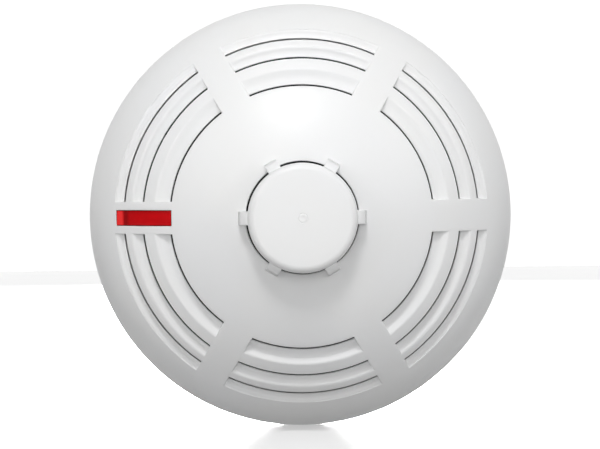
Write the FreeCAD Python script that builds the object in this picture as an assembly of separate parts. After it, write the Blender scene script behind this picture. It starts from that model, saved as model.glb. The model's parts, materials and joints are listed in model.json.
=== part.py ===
import FreeCAD, Part
import math
import os

# Point heat detector on a twist-lock mounting base.
# Everything is modelled with +Z out of the face, the base's flat back on z = 0 and the axis on Z.
# place_in_row() then turns each piece so that the face looks along -Y with +Z up, as it hangs on a wall.
# Angles are in degrees, counter-clockwise as seen from the front. Lengths are in millimetres.

# --- Front cover ---
COVER_RADIUS = 54.0          # at the open back edge
COVER_BACK_Z = 12.6
COVER_WALL = 1.8
COVER_DRAFT = 3.0            # degrees
SHOULDER_RADIUS = 21.0
DOME_TOP_Z = 55.5            # where the dome would close without its opening
DOME_RISE = 18.9             # from where it leaves the shoulder up to its top
DOME_INSET = 6.96            # from the cover's edge in to where it leaves the shoulder
RIM_ROUNDING = 0.5

# --- Louvres: from the outermost inwards ---
OUTER_LAND = 0.94            # dome left between the shoulder and the outermost louvre
RECESS_WIDTHS = (2.6, 3.08, 4.22)
LAND_WIDTHS = (1.7, 2.62)    # slat surface between two recesses
RAMP_DEPTH = 2.2             # from a lip down to the foot of the ramp beside it
RAMP_SCOOP = 0.35
SCOOP_BEND = 1.5             # bend radius over a ramp's width
SLAT_THICKNESS = 1.3
SLAT_LIP = 1.4
AIR_SLOT = 0.5               # between a ramp's foot and the lip inside it
SLAT_ROOT = 0.45
SPOKE_COUNT = 6
SPOKE_WIDTH = 7.9
END_WALL = 1.4
END_WALL_DEPTH = 3.8

# --- Sensing cage ---
CAP_RADIUS = 13.2
CAP_THICKNESS = 2.7
CAP_CROWN = 0.4
CROWN_BREAK = 0.6            # where the crown bends, as a share of the cap's flat radius
CROWN_BREAK_DROP = 0.4       # how far it has fallen there, as a share of the crown
CROWN_BEND = 3.0             # its bend radius over the flat radius
CAP_EDGE_ROUNDING = 1.9
CAP_WALL = 1.7
CAGE_OPENING_GAP = 0.42      # between the cap's edge and the opening under it
CAGE_WINDOW_HEIGHT = 4.6
CAGE_RIB_WIDTH = 3.25
CAGE_RIB_REACH = 1.7         # past the cap's edge
CAGE_RIB_RISE = 0.5          # above the cap's lower edge
CAGE_RIB_FALL = 1.9          # of its sloping front over that reach
CAGE_RIB_ROUNDING = 0.3
CAGE_RIB_SLOPE = 0.7         # further out at its foot
CAGE_RIB_DEPTH = 2.4
GATE_MARK_RADIUS = 1.3
GATE_MARK_WIDTH = 0.4
GATE_MARK_DEPTH = 0.15

# --- Indicator light guide, in the left spoke ---
GUIDE_ANGLE = 180.0
GUIDE_LENGTH = 13.8
GUIDE_WALL_GAP = 0.2         # to the louvres' end walls
GUIDE_CLEARANCE = 0.1
GUIDE_RECESS = 0.15
GUIDE_FLANGE = 0.5
GUIDE_FLANGE_THICKNESS = 1.2
GUIDE_FOOT_LENGTH = 4.0
GUIDE_FOOT_WIDTH = 3.0
GUIDE_FOOT_GAP = 1.0
LED_SIZE = (3.2, 2.6, 1.4)

# --- Base ---
BASE_FLOOR = 2.2
BASE_WALL = 1.8
BASE_COVER_GAP = 1.7
BASE_OVERLAP = 0.6           # base wall inside the cover's skirt
BASE_EDGE_ROUNDING = 0.6
BACK_POCKET_DEPTH = 0.8
BACK_RIM = 3.5
BACK_RIB_WIDTH = 9.0
BACK_BOSS_WALL = 3.0
CABLE_ENTRY_RADIUS = 9.5
CABLE_COLLAR_WALL = 1.5
CABLE_COLLAR_HEIGHT = 1.6
FIXING_SLOT_SPACING = 60.0
FIXING_SLOT_LENGTH = 9.0
FIXING_HOLE_SPACING = 50.0
FIXING_RADIUS = 2.1
KNOCKOUT_ANGLES = (62.0, 182.0, 302.0)
KNOCKOUT_WIDTH = 8.0
KNOCKOUT_HEIGHT = 6.0
KNOCKOUT_SKIN = 0.7
LOCK_MARK_ANGLE = 270.0
LOCK_MARK_HEIGHT = 0.5
LOCK_MARK_WIDTH = 1.5

# --- Twist lock ---
LOCK_ANGLES = (90.0, 205.0, 335.0)   # uneven, so that the head fits one way round
TWIST_TRAVEL = 22.0
LUG_SPAN = 18.0
HOOK_SPAN = 22.0
STOP_SPAN = 2.6
STOP_CLEARANCE = 0.5
LUG_REACH = 2.4
LUG_THICKNESS = 1.9
LUG_SIDE_CLEARANCE = 0.5
HOOK_SKIRT_CLEARANCE = 0.6
HOOK_THICKNESS = 1.8
HOOK_GAP = 0.3
HOOK_Z = 9.0

# --- Head body ---
SKIRT_WALL = 1.8
SKIRT_BACK_Z = 6.0
HEAD_FLOOR_Z = 10.0
HEAD_FLOOR = 1.8
FLANGE_THICKNESS = 1.8
FLANGE_GAP = 0.8             # over the base's wall
FLANGE_CLEARANCE = 0.15
HEAD_RIB_ANGLES = (15.0, 105.0, 195.0, 285.0)
HEAD_RIB_HEIGHT = 1.6
HEAD_RIB_WIDTH = 1.2

# --- Circuit board and shroud ---
BOARD_THICKNESS = 1.6
BOARD_CLEARANCE = 2.0
BOARD_STANDOFF = 6.2
SHROUD_PIN_GAP = 0.4         # between the shroud and the contact pins inside it
SHROUD_WALL = 1.4
SHROUD_HEIGHT = 8.6
SHROUD_EDGE_ROUNDING = 1.26
TOWER_BASE_RADIUS = 12.0
TOWER_TOP_RADIUS = 5.6
TOWER_DROP = 3.4             # tower's top under the cage's opening
TOWER_BORE_RADIUS = 3.2
TOWER_FOOT_ROUNDING = 1.4
TOWER_EDGE_ROUNDING = 0.98
THERMISTOR_RADIUS = 1.25
THERMISTOR_LENGTH = 3.4
THERMISTOR_ROUNDING = 0.85   # of its ends, as a share of its radius
LEAD_RADIUS = 0.3
LEAD_OFFSET = 0.75
SLEEVE_RADIUS = 0.6

# --- Screws ---
SCREW_ANGLES = (0.0, 120.0, 240.0)
BOARD_SCREW_ANGLES = (30.0, 150.0, 270.0)
POST_INSET = 4.0             # cover posts inside the skirt
POST_RADIUS = 3.0
POST_NOTCH_CLEARANCE = 0.6
COVER_SCREW_RADIUS = 1.3
COVER_SCREW_BITE = 9.0
COVER_SCREW_HEAD_RADIUS = 2.7
BOARD_POST_INSET = 6.0
BOARD_POST_RADIUS = 2.4
BOARD_SCREW_RADIUS = 1.1
BOARD_SCREW_HEAD_RADIUS = 2.0
BOARD_SCREW_BITE = 4.3
SCREW_HEAD_HEIGHT = 1.5
SCREW_CLEARANCE = 0.2
DRIVE_SLOT_WIDTH = 0.7
DRIVE_SLOT_DEPTH = 0.8

# --- Contacts ---
CONTACT_ANGLES = (45.0, 135.0, 225.0, 315.0)
CONTACT_INSET = 14.0         # contact circle inside the skirt
STRIP_WIDTH = 6.5
CLIP_THICKNESS = 0.6
PAD_HEIGHT = 2.0
PAD_MARGIN = 0.6
CLIP_TAIL = -12.5            # along the clip, positive counter-clockwise
CLIP_BEND = 8.6
CLIP_BEND_RISE = 2.4
CLIP_CREST = 2.5
CLIP_TIP = -0.5
CLIP_TIP_DROP = 1.35
CLIP_CORNER = 0.9
CONTACT_GAP = 0.15
CLAMP_POSITION = -8.0
CLAMP_SIZE = (7.4, 7.0, 0.9)
CLAMP_SCREW_RADIUS = 1.7
CLAMP_SCREW_BITE = 3.2
HEAD_STRIP_START = -3.0
HEAD_STRIP_END = 11.8
HEAD_STRIP_THICKNESS = 0.8
RIVET_POSITIONS = (6.6, 9.9)
RIVET_HEAD_RADIUS = 1.2
RIVET_HEAD_HEIGHT = 0.5
RIVET_RADIUS = 0.7
PIN_RADIUS = 0.5
PIN_STICKOUT = 1.2

# --- Parts on the circuit board: length, width, height ---
CHIP_SIZE = (9.9, 3.9, 1.5)
CHIP_LEG_PITCH = 1.27
CHIP_LEG_COUNT = 8
CHIP_LEG_SIZE = (0.42, 1.1, 0.6)
CHIP_PLACE = (0.0, -22.0)
REGULATOR_SIZE = (6.5, 3.5, 1.7)
REGULATOR_TAB = (3.0, 1.7, 0.4)
REGULATOR_PLACE = (19.0, -17.0)
SUPPRESSOR_SIZE = (4.6, 3.6, 2.3)
SUPPRESSOR_PLACE = (22.0, 6.0)
RECTIFIER_SIZE = (6.6, 6.2, 2.5)
RECTIFIER_PLACE = (15.0, 17.0)
CAPACITOR_RADIUS = 3.15
CAPACITOR_HEIGHT = 5.8
CAPACITOR_PLACE = (-17.0, -16.0)
CAPACITOR_FOOT = (6.6, 6.6, 0.9)
CERAMIC_SIZE = (1.6, 0.8, 0.8)
CERAMIC_RING = 17.0
CERAMIC_COUNT = 8
CERAMIC_START = 10.0         # angle of the first one
RESISTOR_SIZE = (1.6, 0.8, 0.5)
RESISTOR_RING = 27.5
RESISTOR_COUNT = 12
RESISTOR_START = 4.0
REFERENCE_SIZE = (2.0, 1.25, 1.0)
REFERENCE_PLACE = (-21.0, 9.0)

# --- Sizes, heights and radii that follow from the sizes above ---
CAGE_OPENING_RADIUS = CAP_RADIUS + CAGE_OPENING_GAP
GUIDE_WIDTH = SPOKE_WIDTH - 2 * (END_WALL + GUIDE_WALL_GAP + GUIDE_FLANGE)
DRAFT = math.radians(COVER_DRAFT)
DOME_SPAN = COVER_RADIUS - DOME_INSET
DOME_RADIUS = (DOME_SPAN ** 2 + DOME_RISE ** 2) / (2 * DOME_RISE)
DOME_CENTRE_Z = DOME_TOP_Z - DOME_RADIUS
BASE_TOP_Z = COVER_BACK_Z + BASE_OVERLAP
BASE_OUTER = COVER_RADIUS - COVER_WALL - BASE_COVER_GAP
BASE_INNER = BASE_OUTER - BASE_WALL
LUG_OUTER = BASE_INNER - LUG_SIDE_CLEARANCE
SKIRT_OUTER = LUG_OUTER - LUG_REACH
SKIRT_INNER = SKIRT_OUTER - SKIRT_WALL
HOOK_INNER = SKIRT_OUTER + HOOK_SKIRT_CLEARANCE
HEAD_FLOOR_TOP = HEAD_FLOOR_Z + HEAD_FLOOR
FLANGE_Z = BASE_TOP_Z + FLANGE_GAP
FLANGE_TOP = FLANGE_Z + FLANGE_THICKNESS
BOARD_Z = HEAD_FLOOR_TOP + BOARD_STANDOFF
BOARD_TOP = BOARD_Z + BOARD_THICKNESS
BOARD_RADIUS = SKIRT_INNER - BOARD_CLEARANCE
POST_CIRCLE = SKIRT_INNER - POST_INSET
BOARD_POST_CIRCLE = SKIRT_INNER - BOARD_POST_INSET
GUIDE_FOOT_CIRCLE = BOARD_POST_CIRCLE
CONTACT_RADIUS = SKIRT_INNER - CONTACT_INSET
PIN_CIRCLE = math.hypot(CONTACT_RADIUS, RIVET_POSITIONS[-1])
SHROUD_RADIUS = PIN_CIRCLE + PIN_RADIUS + SHROUD_PIN_GAP + SHROUD_WALL
SHROUD_TOP = BOARD_TOP + SHROUD_HEIGHT


# --- Small helpers ---

def vector(x, y, z):
    """A point or direction."""
    return FreeCAD.Vector(x, y, z)


def cylinder(radius, low, high, x=0.0, y=0.0):
    """A solid cylinder along Z."""
    return Part.makeCylinder(radius, high - low, vector(x, y, low))


def ring(inner, outer, low, high):
    """A round tube along Z."""
    return cylinder(outer, low, high).cut(cylinder(inner, low, high))


def block(x_range, y_range, z_range):
    """A box between two values on each axis."""
    sizes = [high - low for low, high in (x_range, y_range, z_range)]
    return Part.makeBox(*sizes, vector(x_range[0], y_range[0], z_range[0]))


def centred_block(size, place, low):
    """A box of the given length, width and height, centred on a place and standing on a height."""
    length, width, height = size
    x, y = place
    return block((x - length / 2, x + length / 2), (y - width / 2, y + width / 2), (low, low + height))


def turned(shape, angle):
    """A copy turned about the axis."""
    copy = shape.copy()
    copy.rotate(vector(0, 0, 0), vector(0, 0, 1), angle)
    return copy


def moved(shape, x, y, z=0.0):
    """A copy moved along the three axes."""
    copy = shape.copy()
    copy.translate(vector(x, y, z))
    return copy


def polar(radius, angle):
    """The x and y of a point at a radius and an angle."""
    return radius * math.cos(math.radians(angle)), radius * math.sin(math.radians(angle))


def along_ring(shape, angle):
    """A copy of a piece modelled along X at y = 0, laid on the contact circle at an angle."""
    return turned(moved(shape, 0.0, -CONTACT_RADIUS), angle + 90.0)


def rounded_wire(corners, closed=True):
    """A wire in the XZ plane through (x, z, rounding radius) corners."""
    points = [vector(x, 0, z) for x, z, _ in corners]
    spans = []
    for index, (_, _, radius) in enumerate(corners):
        here = points[index]
        if radius == 0:
            spans.append((here, None, here))
            continue
        back = (points[index - 1] - here).normalize()
        ahead = (points[(index + 1) % len(points)] - here).normalize()
        half_angle = back.getAngle(ahead) / 2
        reach = radius / math.tan(half_angle)
        bisector = (back + ahead).normalize()
        middle = here + bisector * (radius / math.sin(half_angle) - radius)
        spans.append((here + back * reach, middle, here + ahead * reach))
    edges = []
    for index, (arrive, middle, leave) in enumerate(spans):
        if middle is not None:
            edges.append(Part.Arc(arrive, middle, leave).toShape())
        last = index == len(spans) - 1
        if last and not closed:
            continue
        following = spans[(index + 1) % len(spans)][0]
        edges.append(Part.LineSegment(leave, following).toShape())
    return Part.Wire(edges)


def revolved(corners):
    """A full turn of a rounded outline about the axis."""
    return Part.Face(rounded_wire(corners)).revolve(vector(0, 0, 0), vector(0, 0, 1), 360)


def extruded(wire, width):
    """An outline in the XZ plane made solid, centred on y = 0."""
    return moved(Part.Face(wire).extrude(vector(0, width, 0)), 0.0, -width / 2)


def arc_block(inner, outer, low, high, start, span):
    """Part of a tube between two angles."""
    corners = [(inner, low, 0), (outer, low, 0), (outer, high, 0), (inner, high, 0)]
    sector = Part.Face(rounded_wire(corners)).revolve(vector(0, 0, 0), vector(0, 0, 1), span)
    return turned(sector, start)


def slot_tool(length, radius, low, high):
    """A round-ended slot cutter along X."""
    half = length / 2 - radius
    ends = [cylinder(radius, low, high, x) for x in (-half, half)]
    return block((-half, half), (-radius, radius), (low, high)).fuse(ends)


def slotted_screw(head_radius, head_height, shank_radius, shank_length):
    """A pan-head screw with its head on z = 0 upwards and its shank downwards."""
    rounding = head_height / 3
    outline = [(0, 0, 0), (head_radius, 0, 0), (head_radius, head_height, rounding), (0, head_height, 0)]
    head = revolved(outline)
    shank = cylinder(shank_radius, -shank_length, 0.0)
    half = DRIVE_SLOT_WIDTH / 2
    slot = block((-head_radius, head_radius), (-half, half), (head_height - DRIVE_SLOT_DEPTH, head_height))
    return head.fuse(shank).cut(slot).removeSplitter()


def flipped(shape):
    """A copy turned upside down about the X axis."""
    copy = shape.copy()
    copy.rotate(vector(0, 0, 0), vector(1, 0, 0), 180)
    return copy


# --- The outer skin, and skins parallel to it ---

def shoulder_centre():
    """The shoulder arc's centre, from tangency with the drafted wall and the dome."""
    inward = vector(-math.cos(DRAFT), 0, -math.sin(DRAFT))
    upward = vector(-math.sin(DRAFT), 0, math.cos(DRAFT))
    start = vector(COVER_RADIUS, 0, COVER_BACK_Z) + inward * SHOULDER_RADIUS
    offset = start - vector(0, 0, DOME_CENTRE_Z)
    reach = DOME_RADIUS - SHOULDER_RADIUS
    along = upward.dot(offset)
    rise = -along + math.sqrt(along ** 2 - offset.dot(offset) + reach ** 2)
    return start + upward * rise


def skin_points(depth):
    """Points of the skin at a depth: back edge, wall end, shoulder middle, dome start, dome middle, top."""
    centre = shoulder_centre()
    dome_centre = vector(0, 0, DOME_CENTRE_Z)
    radius = SHOULDER_RADIUS - depth
    dome_direction = (centre - dome_centre).normalize()
    dome_angle = math.atan2(dome_direction.z, dome_direction.x)
    middle_angle = (DRAFT + dome_angle) / 2
    cap_angle = (dome_angle + math.pi / 2) / 2
    back = vector(COVER_RADIUS - depth / math.cos(DRAFT), 0, COVER_BACK_Z)
    wall_end = centre + vector(math.cos(DRAFT), 0, math.sin(DRAFT)) * radius
    shoulder = centre + vector(math.cos(middle_angle), 0, math.sin(middle_angle)) * radius
    dome_start = centre + dome_direction * radius
    dome_reach = DOME_RADIUS - depth
    dome_middle = dome_centre + vector(math.cos(cap_angle), 0, math.sin(cap_angle)) * dome_reach
    top = vector(0, 0, DOME_CENTRE_Z + dome_reach)
    return back, wall_end, shoulder, dome_start, dome_middle, top


def under_skin(depth):
    """Everything inside the skin at a depth, down to the back edge."""
    back, wall_end, shoulder, dome_start, dome_middle, top = skin_points(depth)
    foot = vector(0, 0, COVER_BACK_Z)
    edges = [
        Part.LineSegment(foot, back).toShape(),
        Part.LineSegment(back, wall_end).toShape(),
        Part.Arc(wall_end, shoulder, dome_start).toShape(),
        Part.Arc(dome_start, dome_middle, top).toShape(),
        Part.LineSegment(top, foot).toShape(),
    ]
    return Part.Face(Part.Wire(edges)).revolve(vector(0, 0, 0), vector(0, 0, 1), 360)


def dome_z(radius, depth=0.0):
    """Height of the dome, or of its parallel at a depth, at a radius."""
    return DOME_CENTRE_Z + math.sqrt((DOME_RADIUS - depth) ** 2 - radius ** 2)


def louvre_radii():
    """(lip, crest) radii of each recess from the outermost inwards."""
    dome_start = skin_points(0.0)[3].x
    crest = dome_start - OUTER_LAND
    pairs = []
    for index, width in enumerate(RECESS_WIDTHS):
        lip = crest - width
        pairs.append((lip, crest))
        if index < len(LAND_WIDTHS):
            crest = lip - LAND_WIDTHS[index]
    return pairs


LOUVRES = louvre_radii()
OUTER_CREST = LOUVRES[0][1]
INNER_LIP = LOUVRES[-1][0]
CAGE_RING_Z = dome_z(CAGE_OPENING_RADIUS)
CAP_BOTTOM_Z = CAGE_RING_Z + CAGE_WINDOW_HEIGHT
CAP_TOP_Z = CAP_BOTTOM_Z + CAP_THICKNESS
TOWER_TOP_Z = CAGE_RING_Z - TOWER_DROP
GUIDE_OUTER = OUTER_CREST - SLAT_ROOT
GUIDE_INNER = GUIDE_OUTER - GUIDE_LENGTH


# --- Front cover ---

def louvre_sectors(inner, outer, bar_width):
    """The six ring sectors between the spokes, as cutting tools."""
    band = ring(inner, outer, COVER_BACK_Z, DOME_TOP_Z)
    bar = block((-COVER_RADIUS, COVER_RADIUS), (-bar_width / 2, bar_width / 2), (0.0, CAP_TOP_Z))
    step = 360.0 / SPOKE_COUNT
    return band.cut([turned(bar, step * index) for index in range(SPOKE_COUNT // 2)])


def louvre_slat(lip, crest, land_end):
    """One full ring of slat: a scooped ramp from beside a lip up to its crest, and the land beyond it."""
    foot = lip + AIR_SLOT
    foot_z = dome_z(lip) - RAMP_DEPTH
    crest_z = dome_z(crest)
    middle = (foot + crest) / 2
    middle_z = (foot_z + crest_z) / 2 - RAMP_SCOOP
    scoop = (crest - foot) * SCOOP_BEND
    if land_end is None:
        # The outermost slat runs on inside the shell instead of ending in a lip.
        root = crest + SLAT_ROOT
        outer = [(root, dome_z(root) - SLAT_ROOT, 0), (root, dome_z(root, COVER_WALL) + SLAT_ROOT / 2, 0)]
    else:
        outer = [(land_end, dome_z(land_end), 0), (land_end, dome_z(land_end) - SLAT_LIP, 0)]
    under = [(crest, crest_z - SLAT_THICKNESS, 0), (foot, foot_z - SLAT_THICKNESS, 0)]
    corners = outer + under + [(foot, foot_z, 0), (middle, middle_z, scoop), (crest, crest_z, 0)]
    return revolved(corners)


def make_louvres():
    """All slats, trimmed between the spokes."""
    rings = []
    land_end = None
    for lip, crest in LOUVRES:
        rings.append(louvre_slat(lip, crest, land_end))
        land_end = lip
    zone = louvre_sectors(INNER_LIP, OUTER_CREST + SLAT_ROOT, SPOKE_WIDTH)
    return [slat.common(zone) for slat in rings]


def make_end_walls():
    """Walls under the spokes that close the ends of the louvres."""
    inner = INNER_LIP - END_WALL / 2
    wide = louvre_sectors(inner, OUTER_CREST, SPOKE_WIDTH - 2 * END_WALL)
    narrow = louvre_sectors(inner, OUTER_CREST, SPOKE_WIDTH)
    depth = under_skin(COVER_WALL / 2).cut(under_skin(END_WALL_DEPTH))
    return wide.cut(narrow).common(depth)


def make_cap():
    """The round cap over the sensing element, hollow underneath, with a shallow gate mark."""
    crown_start = CAP_RADIUS - CAP_EDGE_ROUNDING
    hollow_radius = CAP_RADIUS - CAP_WALL
    hollow_z = CAP_TOP_Z - CAP_CROWN - CAP_WALL
    corners = [
        (0, CAP_TOP_Z, 0),
        (crown_start * CROWN_BREAK, CAP_TOP_Z - CAP_CROWN * CROWN_BREAK_DROP, crown_start * CROWN_BEND),
        (CAP_RADIUS, CAP_TOP_Z - CAP_CROWN, CAP_EDGE_ROUNDING),
        (CAP_RADIUS, CAP_BOTTOM_Z, 0),
        (hollow_radius, CAP_BOTTOM_Z, 0),
        (hollow_radius, hollow_z, 0),
        (0, hollow_z, 0),
    ]
    mark = ring(GATE_MARK_RADIUS - GATE_MARK_WIDTH, GATE_MARK_RADIUS, CAP_TOP_Z - GATE_MARK_DEPTH, CAP_TOP_Z)
    return revolved(corners).cut(mark)


def make_cage_rib():
    """One rib from the dome up into the cap, its front end sloping outwards."""
    outer = CAP_RADIUS + CAGE_RIB_REACH
    inner = CAP_RADIUS - CAP_WALL
    foot_z = dome_z(outer, COVER_WALL / 2)
    corners = [
        (inner, CAP_BOTTOM_Z + CAGE_RIB_RISE, 0),
        (CAP_RADIUS, CAP_BOTTOM_Z + CAGE_RIB_RISE, 0),
        (outer, CAP_BOTTOM_Z + CAGE_RIB_RISE - CAGE_RIB_FALL, CAGE_RIB_ROUNDING),
        (outer + CAGE_RIB_SLOPE, foot_z, 0),
        (inner, foot_z - CAGE_RIB_DEPTH, 0),
    ]
    return extruded(rounded_wire(corners), CAGE_RIB_WIDTH)


def reaching_floor(space):
    """A space under the skin, extended down to the head's floor."""
    return space.fuse(cylinder(SKIRT_INNER, HEAD_FLOOR_TOP, COVER_BACK_Z + COVER_WALL))


def make_sensing_cage():
    """The cap on its six ribs, moulded as one piece that sits in notches round the cover's opening."""
    step = 360.0 / SPOKE_COUNT
    ribs = [turned(make_cage_rib(), step * index) for index in range(SPOKE_COUNT)]
    return make_cap().fuse(ribs).removeSplitter()


def make_cover_posts():
    """Screw posts from the head's floor up into the cover's shell."""
    space = reaching_floor(under_skin(COVER_WALL / 2))
    posts = []
    for angle in SCREW_ANGLES:
        x, y = polar(POST_CIRCLE, angle)
        posts.append(cylinder(POST_RADIUS, HEAD_FLOOR_TOP, DOME_TOP_Z, x, y).common(space))
    return posts


def make_front_cover():
    """Dome, skirt, louvres and screw posts, moulded in one piece, with notches for the sensing cage."""
    shell = under_skin(0.0).cut(under_skin(COVER_WALL))
    back_edges = [edge for edge in shell.Edges if is_back_edge(edge)]
    shell = shell.makeFillet(RIM_ROUNDING, back_edges)
    shell = shell.cut(louvre_sectors(INNER_LIP, OUTER_CREST, SPOKE_WIDTH))
    shell = shell.cut(cylinder(CAGE_OPENING_RADIUS, COVER_BACK_Z, CAP_TOP_Z))
    cover = shell.fuse([make_end_walls()] + make_louvres() + make_cover_posts())
    bores = []
    for angle in SCREW_ANGLES:
        x, y = polar(POST_CIRCLE, angle)
        depth = HEAD_FLOOR_TOP + COVER_SCREW_BITE + COVER_WALL
        bores.append(cylinder(COVER_SCREW_RADIUS, HEAD_FLOOR_TOP, depth, x, y))
    window = guide_block(GUIDE_CLEARANCE, 0.0, CAP_TOP_Z)
    return cover.cut(bores + [window, make_sensing_cage()]).removeSplitter()


def is_back_edge(edge):
    """Whether an edge is one of the two circles of the cover's back edge."""
    box = edge.BoundBox
    flat = abs(box.ZMin - COVER_BACK_Z) < COVER_WALL / 4 and box.ZMax - box.ZMin < COVER_WALL / 4
    return flat and box.XMax > COVER_RADIUS - 2 * COVER_WALL


# --- Indicator light guide ---

def guide_block(margin, low, high):
    """A straight prism round the guide's outline with a margin, in the left spoke."""
    half = GUIDE_WIDTH / 2 + margin
    prism = block((GUIDE_INNER - margin, GUIDE_OUTER + margin), (-half, half), (low, high))
    return turned(prism, GUIDE_ANGLE)


def make_light_guide():
    """Window flush in the spoke, a flange under the shell and a stem down to the status light."""
    window_back = COVER_WALL + GUIDE_FLANGE_THICKNESS
    window_layer = under_skin(GUIDE_RECESS).cut(under_skin(window_back))
    flange_layer = under_skin(COVER_WALL + GUIDE_CLEARANCE).cut(under_skin(window_back))
    window = guide_block(0.0, COVER_BACK_Z, CAP_TOP_Z).common(window_layer)
    flange = guide_block(GUIDE_FLANGE, COVER_BACK_Z, CAP_TOP_Z).common(flange_layer)
    foot_z = BOARD_TOP + LED_SIZE[2] + GUIDE_FOOT_GAP
    stem_top = dome_z(GUIDE_OUTER, window_back)
    half_length = GUIDE_LENGTH / 2 - GUIDE_WIDTH / 2
    centre = (GUIDE_INNER + GUIDE_OUTER) / 2
    upper = rectangle(centre, half_length, GUIDE_WIDTH / 2, stem_top)
    neck = rectangle(GUIDE_FOOT_CIRCLE, GUIDE_FOOT_LENGTH / 2, GUIDE_FOOT_WIDTH / 2, foot_z)
    stem = turned(Part.makeLoft([neck, upper], True, True), GUIDE_ANGLE)
    column = block((centre - half_length, centre + half_length), (-GUIDE_WIDTH / 2, GUIDE_WIDTH / 2),
                   (stem_top, CAP_TOP_Z))
    column = turned(column, GUIDE_ANGLE).common(under_skin(COVER_WALL + GUIDE_CLEARANCE * 2))
    return window.fuse([flange, stem, column]).removeSplitter()


def rectangle(centre, half_length, half_width, height):
    """A closed rectangular wire at a height, centred on the X axis."""
    signs = ((-1, -1), (1, -1), (1, 1), (-1, 1), (-1, -1))
    points = [vector(centre + a * half_length, b * half_width, height) for a, b in signs]
    return Part.makePolygon(points)


# --- Base ---

def make_lock_hook(angle):
    """A bayonet hook with its closing stop, and the stop that ends the turn."""
    start = angle - HOOK_SPAN / 2
    outer = BASE_INNER + BASE_WALL / 2
    hook = arc_block(HOOK_INNER, outer, HOOK_Z, HOOK_Z + HOOK_THICKNESS, start, HOOK_SPAN)
    closed_end = angle - LUG_SPAN / 2 - STOP_CLEARANCE
    open_end = angle + LUG_SPAN / 2 + TWIST_TRAVEL + STOP_CLEARANCE
    stops = []
    for stop_start in (closed_end - STOP_SPAN, open_end):
        stops.append(arc_block(HOOK_INNER, outer, BASE_FLOOR, HOOK_Z, stop_start, STOP_SPAN))
    return hook.fuse(stops)


def make_contact_pad():
    """A raised pad that carries one wiring clip."""
    length = CLIP_BEND - CLIP_TAIL + CLIP_CORNER
    centre = (CLIP_BEND + CLIP_TAIL) / 2
    return centred_block((length, STRIP_WIDTH + 2 * PAD_MARGIN, PAD_HEIGHT), (centre, 0.0), BASE_FLOOR)


def make_back_pockets():
    """Shallow pockets that leave a rim, a boss round the cable entry and four ribs on the back."""
    pocket = ring(CABLE_ENTRY_RADIUS + BACK_BOSS_WALL, BASE_OUTER - BACK_RIM, 0.0, BACK_POCKET_DEPTH)
    half = BACK_RIB_WIDTH / 2
    across = block((-BASE_OUTER, BASE_OUTER), (-half, half), (0.0, BACK_POCKET_DEPTH))
    return pocket.cut([across, turned(across, 90.0)])


def make_base_plate():
    """Floor, wall, cable collar, contact pads and lock hooks."""
    rounding = BASE_EDGE_ROUNDING
    cup = revolved([
        (0, 0, 0),
        (BASE_OUTER, 0, rounding),
        (BASE_OUTER, BASE_TOP_Z, rounding / 2),
        (BASE_INNER, BASE_TOP_Z, rounding / 2),
        (BASE_INNER, BASE_FLOOR, rounding),
        (0, BASE_FLOOR, 0),
    ])
    collar = ring(CABLE_ENTRY_RADIUS, CABLE_ENTRY_RADIUS + CABLE_COLLAR_WALL, BASE_FLOOR,
                  BASE_FLOOR + CABLE_COLLAR_HEIGHT)
    pads = [along_ring(make_contact_pad(), angle) for angle in CONTACT_ANGLES]
    hooks = [make_lock_hook(angle) for angle in LOCK_ANGLES]
    half_mark = LOCK_MARK_WIDTH / 2
    mark = block((BASE_OUTER - BASE_WALL / 2, BASE_OUTER + LOCK_MARK_HEIGHT), (-half_mark, half_mark),
                 (BASE_FLOOR, COVER_BACK_Z - BASE_FLOOR))
    base = cup.fuse([collar, turned(mark, LOCK_MARK_ANGLE)] + pads + hooks)
    cuts = [cylinder(CABLE_ENTRY_RADIUS, 0.0, BASE_TOP_Z), make_back_pockets()]
    slot = slot_tool(FIXING_SLOT_LENGTH, FIXING_RADIUS, 0.0, BASE_TOP_Z)
    for side in (-1, 1):
        cuts.append(moved(slot, side * FIXING_SLOT_SPACING / 2, 0.0))
        cuts.append(cylinder(FIXING_RADIUS, 0.0, BASE_TOP_Z, 0.0, side * FIXING_HOLE_SPACING / 2))
    for angle in KNOCKOUT_ANGLES:
        pocket = block((BASE_INNER - BASE_WALL, BASE_OUTER - KNOCKOUT_SKIN),
                       (-KNOCKOUT_WIDTH / 2, KNOCKOUT_WIDTH / 2), (BASE_FLOOR, BASE_FLOOR + KNOCKOUT_HEIGHT))
        cuts.append(turned(pocket, angle))
    for angle in CONTACT_ANGLES:
        bottom = clamp_seat_z() - CLAMP_SCREW_BITE
        hole = cylinder(CLAMP_SCREW_RADIUS, bottom, BASE_TOP_Z, CLAMP_POSITION)
        cuts.append(along_ring(hole, angle))
    return base.cut(cuts).removeSplitter()


# --- Wiring clips in the base ---

def clip_seat_z():
    """Height of the pads' tops."""
    return BASE_FLOOR + PAD_HEIGHT


def clamp_seat_z():
    """Height of the clip's top, on which the wire clamp lies."""
    return clip_seat_z() + CLIP_THICKNESS


def make_contact_clip():
    """A flat spring strip that folds back over itself and ends in a contact crest."""
    half = CLIP_THICKNESS / 2
    low = clip_seat_z() + half
    crest = HEAD_FLOOR_Z - HEAD_STRIP_THICKNESS - CONTACT_GAP - half
    path = rounded_wire([
        (CLIP_TAIL, low, 0),
        (CLIP_BEND, low, CLIP_CORNER),
        (CLIP_BEND + half, low + CLIP_BEND_RISE, CLIP_CORNER),
        (CLIP_CREST, crest, CLIP_CORNER),
        (CLIP_TIP, crest - CLIP_TIP_DROP, 0),
    ], closed=False)
    strip = extruded(path.makeOffset2D(half, 0, False, False), STRIP_WIDTH)
    hole = cylinder(CLAMP_SCREW_RADIUS + SCREW_CLEARANCE, 0.0, low + CLIP_THICKNESS, CLAMP_POSITION)
    return strip.cut(hole)


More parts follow.
